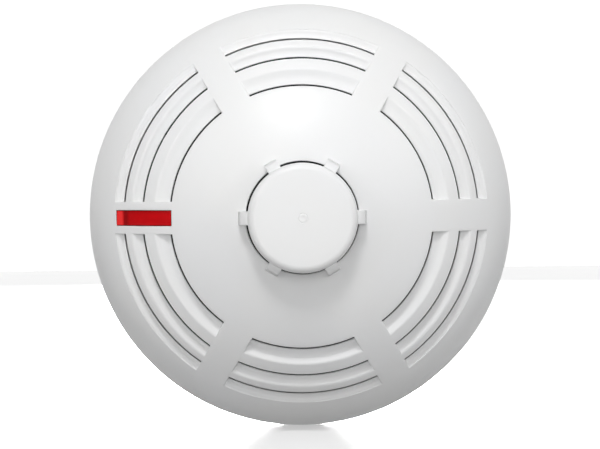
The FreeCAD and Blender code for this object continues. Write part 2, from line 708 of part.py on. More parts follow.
def make_clamp_plate():
    """A square wire clamp with two turned-up edges."""
    length, width, thickness = CLAMP_SIZE
    seat = clamp_seat_z()
    plate = centred_block(CLAMP_SIZE, (CLAMP_POSITION, 0.0), seat)
    lips = []
    for side in (-1, 1):
        edge = side * (width - thickness) / 2
        lips.append(centred_block((length, thickness, 2 * thickness), (CLAMP_POSITION, edge), seat))
    hole = cylinder(CLAMP_SCREW_RADIUS + SCREW_CLEARANCE, 0.0, BASE_TOP_Z, CLAMP_POSITION)
    return plate.fuse(lips).cut(hole).removeSplitter()


def make_clamp_screw():
    """The screw that presses a wire clamp onto its clip."""
    head_seat = clamp_seat_z() + CLAMP_SIZE[2]
    head_radius = CLAMP_SIZE[1] / 2 - CLAMP_SIZE[2] - SCREW_CLEARANCE
    shank = CLAMP_SIZE[2] + CLAMP_SCREW_BITE
    screw = slotted_screw(head_radius, SCREW_HEAD_HEIGHT, CLAMP_SCREW_RADIUS, shank)
    return moved(screw, CLAMP_POSITION, 0.0, head_seat)


# --- Head body ---

def make_head_body():
    """Floor, plug skirt, flange, bayonet lugs and board posts."""
    floor = cylinder(SKIRT_OUTER, HEAD_FLOOR_Z, HEAD_FLOOR_TOP)
    skirt = ring(SKIRT_INNER, SKIRT_OUTER, SKIRT_BACK_Z, FLANGE_TOP)
    flange_space = under_skin(COVER_WALL + FLANGE_CLEARANCE)
    flange = ring(SKIRT_INNER, COVER_RADIUS, FLANGE_Z, FLANGE_TOP).common(flange_space)
    lug_top = HOOK_Z - HOOK_GAP
    lugs = []
    for angle in LOCK_ANGLES:
        start = angle - LUG_SPAN / 2
        lugs.append(arc_block(SKIRT_INNER, LUG_OUTER, lug_top - LUG_THICKNESS, lug_top, start, LUG_SPAN))
    posts = [cylinder(BOARD_POST_RADIUS, HEAD_FLOOR_TOP, BOARD_Z, *polar(BOARD_POST_CIRCLE, angle))
             for angle in BOARD_SCREW_ANGLES]
    rib = block((TOWER_BASE_RADIUS, SKIRT_INNER), (-HEAD_RIB_WIDTH / 2, HEAD_RIB_WIDTH / 2),
                (HEAD_FLOOR_TOP, HEAD_FLOOR_TOP + HEAD_RIB_HEIGHT))
    ribs = [turned(rib, angle) for angle in HEAD_RIB_ANGLES]
    body = floor.fuse([skirt, flange] + lugs + posts + ribs)
    cuts = []
    for angle in SCREW_ANGLES:
        x, y = polar(POST_CIRCLE, angle)
        cuts.append(cylinder(COVER_SCREW_RADIUS + SCREW_CLEARANCE, HEAD_FLOOR_Z, HEAD_FLOOR_TOP, x, y))
    for angle in BOARD_SCREW_ANGLES:
        x, y = polar(BOARD_POST_CIRCLE, angle)
        cuts.append(cylinder(BOARD_SCREW_RADIUS, HEAD_FLOOR_TOP, BOARD_Z, x, y))
    for angle in CONTACT_ANGLES:
        for position in RIVET_POSITIONS:
            cuts.append(along_ring(cylinder(RIVET_RADIUS, HEAD_FLOOR_Z, HEAD_FLOOR_TOP, position), angle))
    return body.cut(cuts).removeSplitter()


def make_head_strip():
    """A flat contact strip on the back of the head's floor."""
    length = HEAD_STRIP_END - HEAD_STRIP_START
    centre = (HEAD_STRIP_END + HEAD_STRIP_START) / 2
    low = HEAD_FLOOR_Z - HEAD_STRIP_THICKNESS
    strip = centred_block((length, STRIP_WIDTH, HEAD_STRIP_THICKNESS), (centre, 0.0), low)
    holes = [cylinder(RIVET_RADIUS, low, HEAD_FLOOR_Z, position) for position in RIVET_POSITIONS]
    return strip.cut(holes)


def make_rivet(position):
    """A flat-headed rivet through a strip and the head's floor."""
    strip_back = HEAD_FLOOR_Z - HEAD_STRIP_THICKNESS
    shank = cylinder(RIVET_RADIUS, strip_back, HEAD_FLOOR_TOP, position)
    head = cylinder(RIVET_HEAD_RADIUS, strip_back - RIVET_HEAD_HEIGHT, strip_back, position)
    tail = cylinder(RIVET_HEAD_RADIUS, HEAD_FLOOR_TOP, HEAD_FLOOR_TOP + RIVET_HEAD_HEIGHT, position)
    return head.fuse([shank, tail]).removeSplitter()


def make_contact_pin():
    """A pin from a rivet's inner head up through the circuit board."""
    low = HEAD_FLOOR_TOP + RIVET_HEAD_HEIGHT
    return cylinder(PIN_RADIUS, low, BOARD_TOP + PIN_STICKOUT, RIVET_POSITIONS[-1])


def make_cover_screws():
    """Screws from behind the head's floor into the cover's posts."""
    shank = HEAD_FLOOR + COVER_SCREW_BITE
    screw = flipped(slotted_screw(COVER_SCREW_HEAD_RADIUS, SCREW_HEAD_HEIGHT, COVER_SCREW_RADIUS, shank))
    return [moved(screw, *polar(POST_CIRCLE, angle), HEAD_FLOOR_Z) for angle in SCREW_ANGLES]


def make_board_screws():
    """Screws from the front of the circuit board into the head's posts."""
    shank = BOARD_THICKNESS + BOARD_SCREW_BITE
    screw = slotted_screw(BOARD_SCREW_HEAD_RADIUS, SCREW_HEAD_HEIGHT, BOARD_SCREW_RADIUS, shank)
    return [moved(screw, *polar(BOARD_POST_CIRCLE, angle), BOARD_TOP) for angle in BOARD_SCREW_ANGLES]


# --- Circuit board, shroud and sensing element ---

def make_circuit_board():
    """Round board notched for the cover's posts, drilled for its screws, pins and leads."""
    board = cylinder(BOARD_RADIUS, BOARD_Z, BOARD_TOP)
    cuts = []
    for angle in SCREW_ANGLES:
        x, y = polar(POST_CIRCLE, angle)
        cuts.append(cylinder(POST_RADIUS + POST_NOTCH_CLEARANCE, BOARD_Z, BOARD_TOP, x, y))
    for angle in BOARD_SCREW_ANGLES:
        x, y = polar(BOARD_POST_CIRCLE, angle)
        cuts.append(cylinder(BOARD_SCREW_RADIUS + SCREW_CLEARANCE, BOARD_Z, BOARD_TOP, x, y))
    for angle in CONTACT_ANGLES:
        cuts.append(along_ring(cylinder(PIN_RADIUS, BOARD_Z, BOARD_TOP, RIVET_POSITIONS[-1]), angle))
    for side in (-1, 1):
        cuts.append(cylinder(LEAD_RADIUS, BOARD_Z, BOARD_TOP, side * LEAD_OFFSET))
    return board.cut(cuts)


def make_board_shroud():
    """Cup over the circuit board with a tapered tower that carries the sensing element."""
    under = SHROUD_TOP - SHROUD_WALL
    corners = [
        (SHROUD_RADIUS, BOARD_TOP, 0),
        (SHROUD_RADIUS, SHROUD_TOP, SHROUD_EDGE_ROUNDING),
        (TOWER_BASE_RADIUS, SHROUD_TOP, TOWER_FOOT_ROUNDING),
        (TOWER_TOP_RADIUS, TOWER_TOP_Z, TOWER_EDGE_ROUNDING),
        (TOWER_BORE_RADIUS, TOWER_TOP_Z, 0),
        (TOWER_BORE_RADIUS, TOWER_TOP_Z - SHROUD_WALL, 0),
        (TOWER_BASE_RADIUS - 2 * SHROUD_WALL, under, 0),
        (SHROUD_RADIUS - SHROUD_WALL, under, 0),
        (SHROUD_RADIUS - SHROUD_WALL, BOARD_TOP, 0),
    ]
    return revolved(corners)


def thermistor_z():
    """Lower end of the sensing bead, in the middle of the cage's windows."""
    return CAGE_RING_Z + (CAGE_WINDOW_HEIGHT - THERMISTOR_LENGTH) / 2


def make_thermistor_bead():
    """A round-ended glass bead along the axis."""
    low = thermistor_z()
    high = low + THERMISTOR_LENGTH
    rounding = THERMISTOR_RADIUS * THERMISTOR_ROUNDING
    lower = [(0, low, 0), (THERMISTOR_RADIUS, low, rounding)]
    upper = [(THERMISTOR_RADIUS, high, rounding), (0, high, 0)]
    return revolved(lower + upper)


def make_thermistor_leads():
    """Two wires from the board up to the bead."""
    top = thermistor_z()
    return [cylinder(LEAD_RADIUS, BOARD_Z, top, side * LEAD_OFFSET) for side in (-1, 1)]


def make_lead_sleeves():
    """Insulating sleeves over the two wires, inside the tower."""
    sleeves = []
    for side in (-1, 1):
        x = side * LEAD_OFFSET
        outer = cylinder(SLEEVE_RADIUS, BOARD_TOP, TOWER_TOP_Z, x)
        sleeves.append(outer.cut(cylinder(LEAD_RADIUS, BOARD_TOP, TOWER_TOP_Z, x)))
    return sleeves


def make_chip_legs():
    """Gull-wing legs along both sides of the control chip."""
    leg_length, leg_width, leg_height = CHIP_LEG_SIZE
    x, y = CHIP_PLACE
    first = x - CHIP_LEG_PITCH * (CHIP_LEG_COUNT - 1) / 2
    legs = []
    for side in (-1, 1):
        row = y + side * (CHIP_SIZE[1] + leg_width) / 2
        for index in range(CHIP_LEG_COUNT):
            place = (first + CHIP_LEG_PITCH * index, row)
            legs.append(centred_block((leg_length, leg_width, leg_height), place, BOARD_TOP))
    return legs


def make_voltage_regulator():
    """A flat power package with its cooling tab."""
    x, y = REGULATOR_PLACE
    body = centred_block(REGULATOR_SIZE, REGULATOR_PLACE, BOARD_TOP)
    tab = centred_block(REGULATOR_TAB, (x, y + (REGULATOR_SIZE[1] + REGULATOR_TAB[1]) / 2), BOARD_TOP)
    return body.fuse(tab).removeSplitter()


def make_reservoir_capacitor():
    """A round can on a square foot."""
    foot = centred_block(CAPACITOR_FOOT, CAPACITOR_PLACE, BOARD_TOP)
    can = cylinder(CAPACITOR_RADIUS, BOARD_TOP, BOARD_TOP + CAPACITOR_HEIGHT, *CAPACITOR_PLACE)
    return foot.fuse(can).removeSplitter()


def chip_ring(size, circle, count, start):
    """Small chip parts spread round a circle on the board."""
    chip = centred_block(size, (circle, 0.0), BOARD_TOP)
    step = 360.0 / count
    return [turned(chip, start + step * index) for index in range(count)]


# --- Export ---

def place_in_row(shape):
    """Turn the model so that its face looks along -Y and the wall side along +Y."""
    copy = shape.copy()
    copy.rotate(vector(0, 0, 0), vector(1, 0, 0), 90)
    return copy


def export(node, shape):
    """Write one node; a list becomes a group of solids."""
    whole = Part.makeCompound(shape) if isinstance(shape, list) else shape
    place_in_row(whole).exportStep("parts/" + node + ".step")


def main():
    """Build and write every node."""
    os.makedirs("parts", exist_ok=True)
    export("base_plate", make_base_plate())
    for number, angle in enumerate(CONTACT_ANGLES, start=1):
        export("contact_clip_" + str(number), along_ring(make_contact_clip(), angle))
    export("clamp_plates", [along_ring(make_clamp_plate(), angle) for angle in CONTACT_ANGLES])
    export("clamp_screws", [along_ring(make_clamp_screw(), angle) for angle in CONTACT_ANGLES])
    export("front_cover", make_front_cover())
    export("sensing_cage", make_sensing_cage())
    export("light_guide", make_light_guide())
    export("head_body", make_head_body())
    export("contact_strips", [along_ring(make_head_strip(), angle) for angle in CONTACT_ANGLES])
    export("contact_rivets", [along_ring(make_rivet(position), angle)
                              for angle in CONTACT_ANGLES for position in RIVET_POSITIONS])
    export("contact_pins", [along_ring(make_contact_pin(), angle) for angle in CONTACT_ANGLES])
    export("cover_screws", make_cover_screws())
    export("board_screws", make_board_screws())
    export("circuit_board", make_circuit_board())
    export("board_shroud", make_board_shroud())
    export("thermistor_bead", make_thermistor_bead())
    export("thermistor_leads", make_thermistor_leads())
    export("lead_sleeves", make_lead_sleeves())
    led_place = polar(GUIDE_FOOT_CIRCLE, GUIDE_ANGLE)
    export("status_led", centred_block(LED_SIZE, led_place, BOARD_TOP))
    export("control_chip", centred_block(CHIP_SIZE, CHIP_PLACE, BOARD_TOP))
    export("chip_legs", make_chip_legs())
    export("voltage_regulator", make_voltage_regulator())
    export("surge_suppressor", centred_block(SUPPRESSOR_SIZE, SUPPRESSOR_PLACE, BOARD_TOP))
    export("bridge_rectifier", centred_block(RECTIFIER_SIZE, RECTIFIER_PLACE, BOARD_TOP))
    export("reservoir_capacitor", make_reservoir_capacitor())
    export("reference_thermistor", centred_block(REFERENCE_SIZE, REFERENCE_PLACE, BOARD_TOP))
    export("chip_capacitors", chip_ring(CERAMIC_SIZE, CERAMIC_RING, CERAMIC_COUNT, CERAMIC_START))
    export("chip_resistors", chip_ring(RESISTOR_SIZE, RESISTOR_RING, RESISTOR_COUNT, RESISTOR_START))


main()
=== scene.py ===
"""Studio scene of a point heat detector: a louvred white head with a sensing cage on a twist-lock base."""
import json
import logging
import math
from dataclasses import dataclass
from enum import Enum
from typing import Any, Dict, List, Mapping, Optional, Sequence, Tuple, Union

import bmesh
import bpy
from mathutils import Matrix, Vector


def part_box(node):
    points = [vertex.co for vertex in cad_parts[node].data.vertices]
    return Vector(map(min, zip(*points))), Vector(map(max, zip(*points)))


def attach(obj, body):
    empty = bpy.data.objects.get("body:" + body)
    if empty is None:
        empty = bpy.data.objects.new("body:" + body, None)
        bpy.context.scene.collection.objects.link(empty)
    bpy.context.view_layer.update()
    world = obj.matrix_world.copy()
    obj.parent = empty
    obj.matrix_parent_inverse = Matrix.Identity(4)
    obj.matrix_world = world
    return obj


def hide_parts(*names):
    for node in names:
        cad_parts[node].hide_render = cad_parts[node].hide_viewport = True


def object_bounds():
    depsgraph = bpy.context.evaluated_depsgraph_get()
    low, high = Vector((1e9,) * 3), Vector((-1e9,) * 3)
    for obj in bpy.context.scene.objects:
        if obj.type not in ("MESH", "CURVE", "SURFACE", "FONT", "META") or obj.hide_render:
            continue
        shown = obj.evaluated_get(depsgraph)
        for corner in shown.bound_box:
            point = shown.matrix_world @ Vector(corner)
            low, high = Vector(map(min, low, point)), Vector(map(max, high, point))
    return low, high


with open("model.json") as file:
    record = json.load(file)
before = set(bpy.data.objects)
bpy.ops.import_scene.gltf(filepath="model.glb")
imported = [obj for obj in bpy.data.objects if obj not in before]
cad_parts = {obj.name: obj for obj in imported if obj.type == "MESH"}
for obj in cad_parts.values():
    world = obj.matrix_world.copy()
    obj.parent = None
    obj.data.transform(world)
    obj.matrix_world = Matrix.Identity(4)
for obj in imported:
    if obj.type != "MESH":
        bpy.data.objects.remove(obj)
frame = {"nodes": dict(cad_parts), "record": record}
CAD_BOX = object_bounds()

LOG = logging.getLogger("heat_detector")
MM = 0.001
SPOKES = 6
STEP = math.tau / SPOKES
SEAM_WELD = 0.00001          # points this near are one in a swept shape, in millimetres
DOUBLE_WELD = 0.0004         # and in a shape joined from rows

Colour = Tuple[float, float, float]
Corner = Tuple[float, float, float]
Outline = List[Tuple[float, float]]


class Grain(Enum):
    """How a metal's grain is drawn out along the three axes."""

    TURNED = (1.0, 6.0, 1.0)
    ACROSS = (14.0, 1.0, 1.0)
    UPRIGHT = (1.0, 1.0, 14.0)


class Body(Enum):
    """The two rigid bodies of the detector."""

    BASE = "base"
    HEAD = "head"


# --- Shader expressions ---


class Value:
    """A number that varies over a surface; arithmetic on it adds Math nodes."""

    def __init__(self, graph: "ShaderGraph", socket: bpy.types.NodeSocket) -> None:
        """Wraps a socket.

        Args:
            graph: The graph that the socket belongs to.
            socket: The output socket that carries the number.
        """
        self.graph = graph
        self.socket = socket

    def _math(self, operation: str, first: Any, second: Any = None) -> "Value":
        """Adds one Math node and wraps its result."""
        sockets = {0: first} if second is None else {0: first, 1: second}
        node = self.graph.node("ShaderNodeMath", {"operation": operation}, sockets)
        return Value(self.graph, node.outputs[0])

    def __add__(self, other: "Number") -> "Value":
        """self + other."""
        return self._math("ADD", self, other)

    __radd__ = __add__

    def __sub__(self, other: "Number") -> "Value":
        """self - other."""
        return self._math("SUBTRACT", self, other)

    def __rsub__(self, other: "Number") -> "Value":
        """other - self."""
        return self._math("SUBTRACT", other, self)

    def __mul__(self, other: "Number") -> "Value":
        """self * other."""
        return self._math("MULTIPLY", self, other)

    __rmul__ = __mul__

    def sine(self) -> "Value":
        """The sine of an angle in radians."""
        return self._math("SINE", self)

    def size(self) -> "Value":
        """The absolute value."""
        return self._math("ABSOLUTE", self)

    def step(self, low: float, high: float) -> "Value":
        """A smooth rise from 0 at low to 1 at high."""
        settings = {"interpolation_type": "SMOOTHSTEP"}
        sockets = {"Value": self, "From Min": low, "From Max": high}
        node = self.graph.node("ShaderNodeMapRange", settings, sockets)
        return Value(self.graph, node.outputs["Result"])


Number = Union[float, Value]


class NodeMaker:
    """Adds nodes to a tree and feeds their sockets."""

    tree: bpy.types.NodeTree

    def node(
        self,
        kind: str,
        settings: Optional[Mapping[str, Any]] = None,
        sockets: Optional[Mapping[Union[str, int], Any]] = None,
    ) -> bpy.types.Node:
        """Adds a node.

        Args:
            kind: The node's type.
            settings: Its properties, which are set before its sockets.
            sockets: Values or links for its inputs, by name or number.

        Returns:
            The new node.
        """
        node = self.tree.nodes.new(kind)
        for key, value in (settings or {}).items():
            setattr(node, key, value)
        for key, value in (sockets or {}).items():
            self.feed(node.inputs[key], value)
        return node

    def feed(self, target: bpy.types.NodeSocket, value: Any) -> None:
        """Sets an input socket to a constant, or links it to a socket or a Value."""
        if isinstance(value, Value):
            self.tree.links.new(value.socket, target)
        elif isinstance(value, bpy.types.NodeSocket):
            self.tree.links.new(value, target)
        else:
            target.default_value = value


class ShaderGraph(NodeMaker):
    """A material under construction."""

    def __init__(self, name: str) -> None:
        """Starts a material that holds one Principled shader.

        Args:
            name: The material's name.
        """
        self.material = bpy.data.materials.new(name)
        self.material.use_nodes = True
        self.tree = self.material.node_tree
        self.tree.nodes.clear()
        self.surface = self.node("ShaderNodeBsdfPrincipled")
        self.node("ShaderNodeOutputMaterial", sockets={"Surface": self.surface.outputs[0]})

    def constants(self, values: Mapping[str, Any]) -> None:
        """Sets constants on the surface shader's own sockets."""
        for key, value in values.items():
            self.surface.inputs[key].default_value = value

    def place(self, stretch: Corner = (1.0, 1.0, 1.0)) -> bpy.types.NodeSocket:
        """Object coordinates in millimetres, stretched along the three axes."""
        coordinates = self.node("ShaderNodeTexCoord")
        scale = tuple(1.0 / (MM * part) for part in stretch)
        sockets = {"Vector": coordinates.outputs["Object"], "Scale": scale}
        return self.node("ShaderNodeMapping", sockets=sockets).outputs[0]

    def along(self) -> Tuple[Value, Value, Value]:
        """The three object coordinates in millimetres."""
        split = self.node("ShaderNodeSeparateXYZ", sockets={0: self.place()})
        return tuple(Value(self, output) for output in split.outputs)

    def noise(self, size: float, detail: float = 2.0, stretch: Corner = (1.0, 1.0, 1.0)) -> Value:
        """Noise of a size in millimetres, about 0.5 on average."""
        sockets = {"Vector": self.place(stretch), "Scale": 1.0 / size, "Detail": detail}
        return Value(self, self.node("ShaderNodeTexNoise", sockets=sockets).outputs[0])

    def blend(self, factor: Number, first: Any, second: Any) -> bpy.types.NodeSocket:
        """A colour between two colours."""
        node = self.node("ShaderNodeMix", {"data_type": "RGBA"})
        for key, value in ((0, factor), (6, first), (7, second)):
            self.feed(node.inputs[key], (*value, 1.0) if isinstance(value, tuple) else value)
        return node.outputs[2]

    def relief(
        self, height: Number, depth: float, under: Optional[bpy.types.NodeSocket] = None
    ) -> bpy.types.NodeSocket:
        """A Bump node.

        Args:
            height: The relief's height, from 0 to 1.
            depth: How deep it is, in millimetres.
            under: A coarser relief's result, to lie on.

        Returns:
            The bent normal.
        """
        node = self.node("ShaderNodeBump", sockets={"Height": height, "Distance": depth * MM})
        if under is not None:
            self.feed(node.inputs["Normal"], under)
        return node.outputs[0]

    def dress(
        self,
        colour: bpy.types.NodeSocket,
        roughness: Value,
        normal: bpy.types.NodeSocket,
        constants: Mapping[str, Any],
    ) -> bpy.types.Material:
        """Feeds the surface shader.

        Args:
            colour: Its base colour.
            roughness: Its roughness.
            normal: Its bent normal.
            constants: Constants for its other sockets.

        Returns:
            The finished material.
        """
        for socket, value in (("Base Color", colour), ("Roughness", roughness), ("Normal", normal)):
            self.feed(self.surface.inputs[socket], value)
        self.constants(constants)
        return self.material


# --- Finishes ---


@dataclass(frozen=True)
class MouldedPlastic:
    """Satin moulded plastic with spark-eroded grain, faint flow marks and a little handling wear."""

    name: str
    colour: Colour
    roughness: float = 0.4
    tint: float = 0.03
    grain: float = 0.16
    grain_depth: float = 0.006

    def material(self) -> bpy.types.Material:
        """Builds the material."""
        graph = ShaderGraph(self.name)
        flow = graph.noise(22.0, 3.0)
        grain = graph.noise(self.grain, 2.0)
        scuffs = graph.noise(1.7, 4.0, (3.0, 1.0, 1.0)).step(0.58, 0.8)
        darker = tuple(part * (1.0 - self.tint) for part in self.colour)
        warmer = (self.colour[0], self.colour[1] * 0.996, self.colour[2] * 0.985)
        colour = graph.blend(flow.step(0.3, 0.7), warmer, self.colour)
        colour = graph.blend(grain.step(0.2, 0.5) * 0.5 + 0.5, darker, colour)
        rough = self.roughness + (flow - 0.5) * 0.08 + (grain - 0.5) * 0.1 + scuffs * 0.05
        normal = graph.relief(grain, self.grain_depth, graph.relief(graph.noise(9.0), 0.02))
        return graph.dress(colour, rough, normal, {"IOR": 1.5})


@dataclass(frozen=True)
class ClearRedPlastic:
    """Clear red light guide, with painted light in its colour: a painted highlight where its outer end turns
    down, a painted dark reflection band beside it, painted shade towards its top and painted shadow along its
    long edges.
    """

    name: str
    outer_end: float
    colour: Colour = (0.6, 0.001, 0.004)
    # Colour of the painted highlight at the outer end.
    painted_highlight: Colour = (1.0, 0.04, 0.04)
    # Colour of the painted dark reflection band, the painted top shade and the painted edge shadow.
    painted_shade_and_reflection: Colour = (0.22, 0.0, 0.001)
    ridge_pitch: float = 0.9

    def material(self) -> bpy.types.Material:
        """Builds the material."""
        graph = ShaderGraph(self.name)
        across, _, up = graph.along()
        inward = across + self.outer_end
        # Painted highlight: the outer end, where the guide turns down, is coloured bright red.
        end = 1.0 - inward.step(1.2, 2.0)
        # Painted reflection: a dark band just inside the bright end.
        reflection_band = inward.step(1.6, 2.1) * (1.0 - inward.step(2.4, 3.6))
        # Painted shadow along both long edges, where the slot's edges shade the recessed guide.
        edge = up.size().step(1.5, 1.85)
        # Painted shade: darker towards the top, for the shadow of the slot's upper edge, but not at the
        # bright end.
        shade = up.step(0.7, 1.6) * (1.0 - end)
        depth = graph.noise(3.0, 2.0, (2.0, 1.0, 1.0))
        colour = graph.blend(depth.step(0.3, 0.7), tuple(part * 0.88 for part in self.colour), self.colour)
        colour = graph.blend(reflection_band * 0.75, colour, self.painted_shade_and_reflection)
        colour = graph.blend(end * 0.85, colour, self.painted_highlight)
        colour = graph.blend(shade * 0.35, colour, self.painted_shade_and_reflection)
        colour = graph.blend(edge * 0.7, colour, self.painted_shade_and_reflection)
        ridges = (across * (math.tau / self.ridge_pitch)).sine() * 0.5 + 0.5
        normal = graph.relief(ridges, 0.012, graph.relief(depth, 0.03))
        return graph.dress(colour, 0.16 + depth * 0.08, normal, {"IOR": 1.49, "Specular IOR Level": 0.15})


@dataclass(frozen=True)
class WorkedMetal:
    """Metal with a brushed or rolled grain, fine scratches and slight tarnish."""

    name: str
    colour: Colour
    roughness: float = 0.3
    tarnish: Colour = (0.35, 0.3, 0.22)
    grain: Grain = Grain.ACROSS

    def material(self) -> bpy.types.Material:
        """Builds the material."""
        graph = ShaderGraph(self.name)
        brushed = graph.noise(0.12, 3.0, self.grain.value)
        patches = graph.noise(4.0, 3.0)
        worn = patches.step(0.5, 0.75)
        colour = graph.blend(worn * 0.3, self.colour, self.tarnish)
        shaded = tuple(part * 0.72 for part in self.colour)
        colour = graph.blend(brushed.step(0.35, 0.7) * 0.35, colour, shaded)
        rough = self.roughness + (brushed - 0.5) * 0.3 + worn * 0.12
        return graph.dress(colour, rough, graph.relief(brushed, 0.004), {"Metallic": 1.0})


@dataclass(frozen=True)
class SolderMask:
    """Green circuit board with raised copper tracks under its mask."""

    name: str
    mask: Colour = (0.008, 0.07, 0.032)
    track: Colour = (0.018, 0.14, 0.058)
    pitch: float = 2.54

    def material(self) -> bpy.types.Material:
        """Builds the material."""
        graph = ShaderGraph(self.name)
        across, _, up = graph.along()
        wander = graph.noise(7.0, 1.0)
        rows = ((up + wander * 5.0) * (math.tau / self.pitch)).sine().step(0.45, 0.7)
        columns = ((across + wander * 5.0) * (math.tau / self.pitch)).sine().step(0.7, 0.85)
        where = graph.noise(5.5, 0.0).step(0.47, 0.53)
        tracks = rows * where + columns * (1.0 - where)
        fibres = graph.noise(0.4, 2.0)
        colour = graph.blend(tracks, self.mask, self.track)
        normal = graph.relief(tracks, 0.035, graph.relief(fibres, 0.004))
        return graph.dress(colour, 0.3 + fibres * 0.15, normal, {"IOR": 1.5})


@dataclass(frozen=True)
class MouldedEpoxy:
    """Dull moulded epoxy or fired ceramic with a gritty surface."""

    name: str
    colour: Colour
    roughness: float = 0.55
    grit: float = 0.12

    def material(self) -> bpy.types.Material:
        """Builds the material."""
        graph = ShaderGraph(self.name)
        grit = graph.noise(self.grit, 3.0)
        cloud = graph.noise(2.2, 2.0)
        paler = tuple(min(1.0, part * 1.5 + 0.01) for part in self.colour)
        colour = graph.blend(grit.step(0.45, 0.8) * 0.5, self.colour, paler)
        rough = self.roughness + (cloud - 0.5) * 0.2
        return graph.dress(colour, rough, graph.relief(grit, 0.01), {"IOR": 1.5})


@dataclass(frozen=True)
class DippedResin:
    """Glossy dipped resin with slight ripples."""

    name: str
    colour: Colour

    def material(self) -> bpy.types.Material:
        """Builds the material."""
        graph = ShaderGraph(self.name)
        ripple = graph.noise(0.8, 1.0)
        lighter = tuple(part * 1.6 for part in self.colour)
        colour = graph.blend(ripple, self.colour, lighter)
        constants = {"IOR": 1.55, "Coat Weight": 0.4, "Coat Roughness": 0.05}
        return graph.dress(colour, 0.12 + ripple * 0.1, graph.relief(ripple, 0.03), constants)


@dataclass(frozen=True)
class StudioSurface:
    """Pale glossy board or backdrop that stays white under the studio's lamps."""

    name: str
    glow: float
    mirror: float
    tint: Colour = (0.9, 0.9, 0.9)

    def material(self) -> bpy.types.Material:
        """Builds the material."""
        graph = ShaderGraph(self.name)
        graph.feed(graph.surface.inputs["Roughness"], 0.2 + graph.noise(90.0, 1.0) * 0.04)
        graph.constants({
            "Base Color": (*self.tint, 1.0),
            "Emission Color": (1.0, 1.0, 1.0, 1.0),
            "Emission Strength": self.glow,
            "Specular IOR Level": self.mirror,
        })
        return graph.material


# --- Geometry Nodes ---


class ShapeTree(NodeMaker):
    """A Geometry Nodes tree under construction."""

    def __init__(self, name: str, inputs: Sequence[Tuple[str, str]]) -> None:
        """Starts a tree with a geometry input and output.

        Args:
            name: The tree's name.
            inputs: Name and socket type of each further input.
        """
        self.tree = bpy.data.node_groups.new(name, "GeometryNodeTree")
        face = self.tree.interface
        face.new_socket("Geometry", in_out="INPUT", socket_type="NodeSocketGeometry")
        for label, kind in inputs:
            face.new_socket(label, in_out="INPUT", socket_type=kind)
        face.new_socket("Geometry", in_out="OUTPUT", socket_type="NodeSocketGeometry")
        self.given = self.tree.nodes.new("NodeGroupInput").outputs
        self.result = self.tree.nodes.new("NodeGroupOutput").inputs[0]

    def calculate(self, operation: str, first: Any, second: Any) -> bpy.types.NodeSocket:
        """One Math node's result."""
        return self.node("ShaderNodeMath", {"operation": operation}, {0: first, 1: second}).outputs[0]

    def spread_round(self, geometry: bpy.types.NodeSocket) -> bpy.types.NodeSocket:
        """Copies of a geometry round the Z axis, realised, as the Count and Start inputs say."""
        points = self.node("GeometryNodePoints", sockets={"Count": self.given["Count"]})
        index = self.node("GeometryNodeInputIndex").outputs[0]
        turn = self.calculate("MULTIPLY", index, self.calculate("DIVIDE", math.tau, self.given["Count"]))
        angle = self.calculate("ADD", turn, self.given["Start"])
        rotation = self.node("ShaderNodeCombineXYZ", sockets={"Z": angle}).outputs[0]
        sockets = {"Points": points.outputs[0], "Instance": geometry, "Rotation": rotation}
        return self.node("GeometryNodeInstanceOnPoints", sockets=sockets).outputs[0]

    def finish(self, geometry: bpy.types.NodeSocket) -> bpy.types.NodeTree:
        """Stands the result up in the row's frame, realises it and sets its finish."""
        steps = (
            ("GeometryNodeTransform", {"Rotation": (math.pi / 2, 0.0, 0.0)}),
            ("GeometryNodeRealizeInstances", {}),
            ("GeometryNodeMergeByDistance", {"Distance": SEAM_WELD * MM}),
            ("GeometryNodeSetShadeSmooth", {}),
            ("GeometryNodeSetMaterial", {"Material": self.given["Finish"]}),
        )
        for kind, sockets in steps:
            geometry = self.node(kind, sockets={0: geometry, **sockets}).outputs[0]
        self.feed(self.result, geometry)
        return self.tree


COMMON_INPUTS = (("Count", "NodeSocketInt"), ("Start", "NodeSocketFloat"), ("Finish", "NodeSocketMaterial"))
PATH_INPUTS = (("Path radius", "NodeSocketFloat"), ("Segments", "NodeSocketInt"))


def ring_array_tree() -> bpy.types.NodeTree:
    """A tree that repeats a piece round the detector's axis."""
    tree = ShapeTree("ring_array", COMMON_INPUTS)
    return tree.finish(tree.spread_round(tree.given["Geometry"]))


def arc_sweep_tree() -> bpy.types.NodeTree:
    """A tree that sweeps an outline along an arc and repeats it round the axis."""
    tree = ShapeTree("arc_sweep", (*PATH_INPUTS, ("Sweep", "NodeSocketFloat"), *COMMON_INPUTS))
    outline = tree.node("GeometryNodeMeshToCurve", sockets={0: tree.given["Geometry"]})
    path = tree.node("GeometryNodeCurveArc", sockets={
        "Resolution": tree.given["Segments"],
        "Radius": tree.given["Path radius"],
        "Start Angle": 0.0,
        "Sweep Angle": tree.given["Sweep"],
    })
    sockets = {"Curve": path.outputs[0], "Profile Curve": outline.outputs[0], "Fill Caps": True}
    swept = tree.node("GeometryNodeCurveToMesh", sockets=sockets)
    return tree.finish(tree.spread_round(swept.outputs[0]))


def lathe_tree() -> bpy.types.NodeTree:
    """A tree that turns an outline a full turn about the axis."""
    tree = ShapeTree("lathe", (*PATH_INPUTS, *COMMON_INPUTS))
    outline = tree.node("GeometryNodeMeshToCurve", sockets={0: tree.given["Geometry"]})
    sockets = {"Resolution": tree.given["Segments"], "Radius": tree.given["Path radius"]}
    path = tree.node("GeometryNodeCurvePrimitiveCircle", sockets=sockets)
    sockets = {"Curve": path.outputs[0], "Profile Curve": outline.outputs[0]}
    swept = tree.node("GeometryNodeCurveToMesh", sockets=sockets)
    return tree.finish(tree.spread_round(swept.outputs[0]))


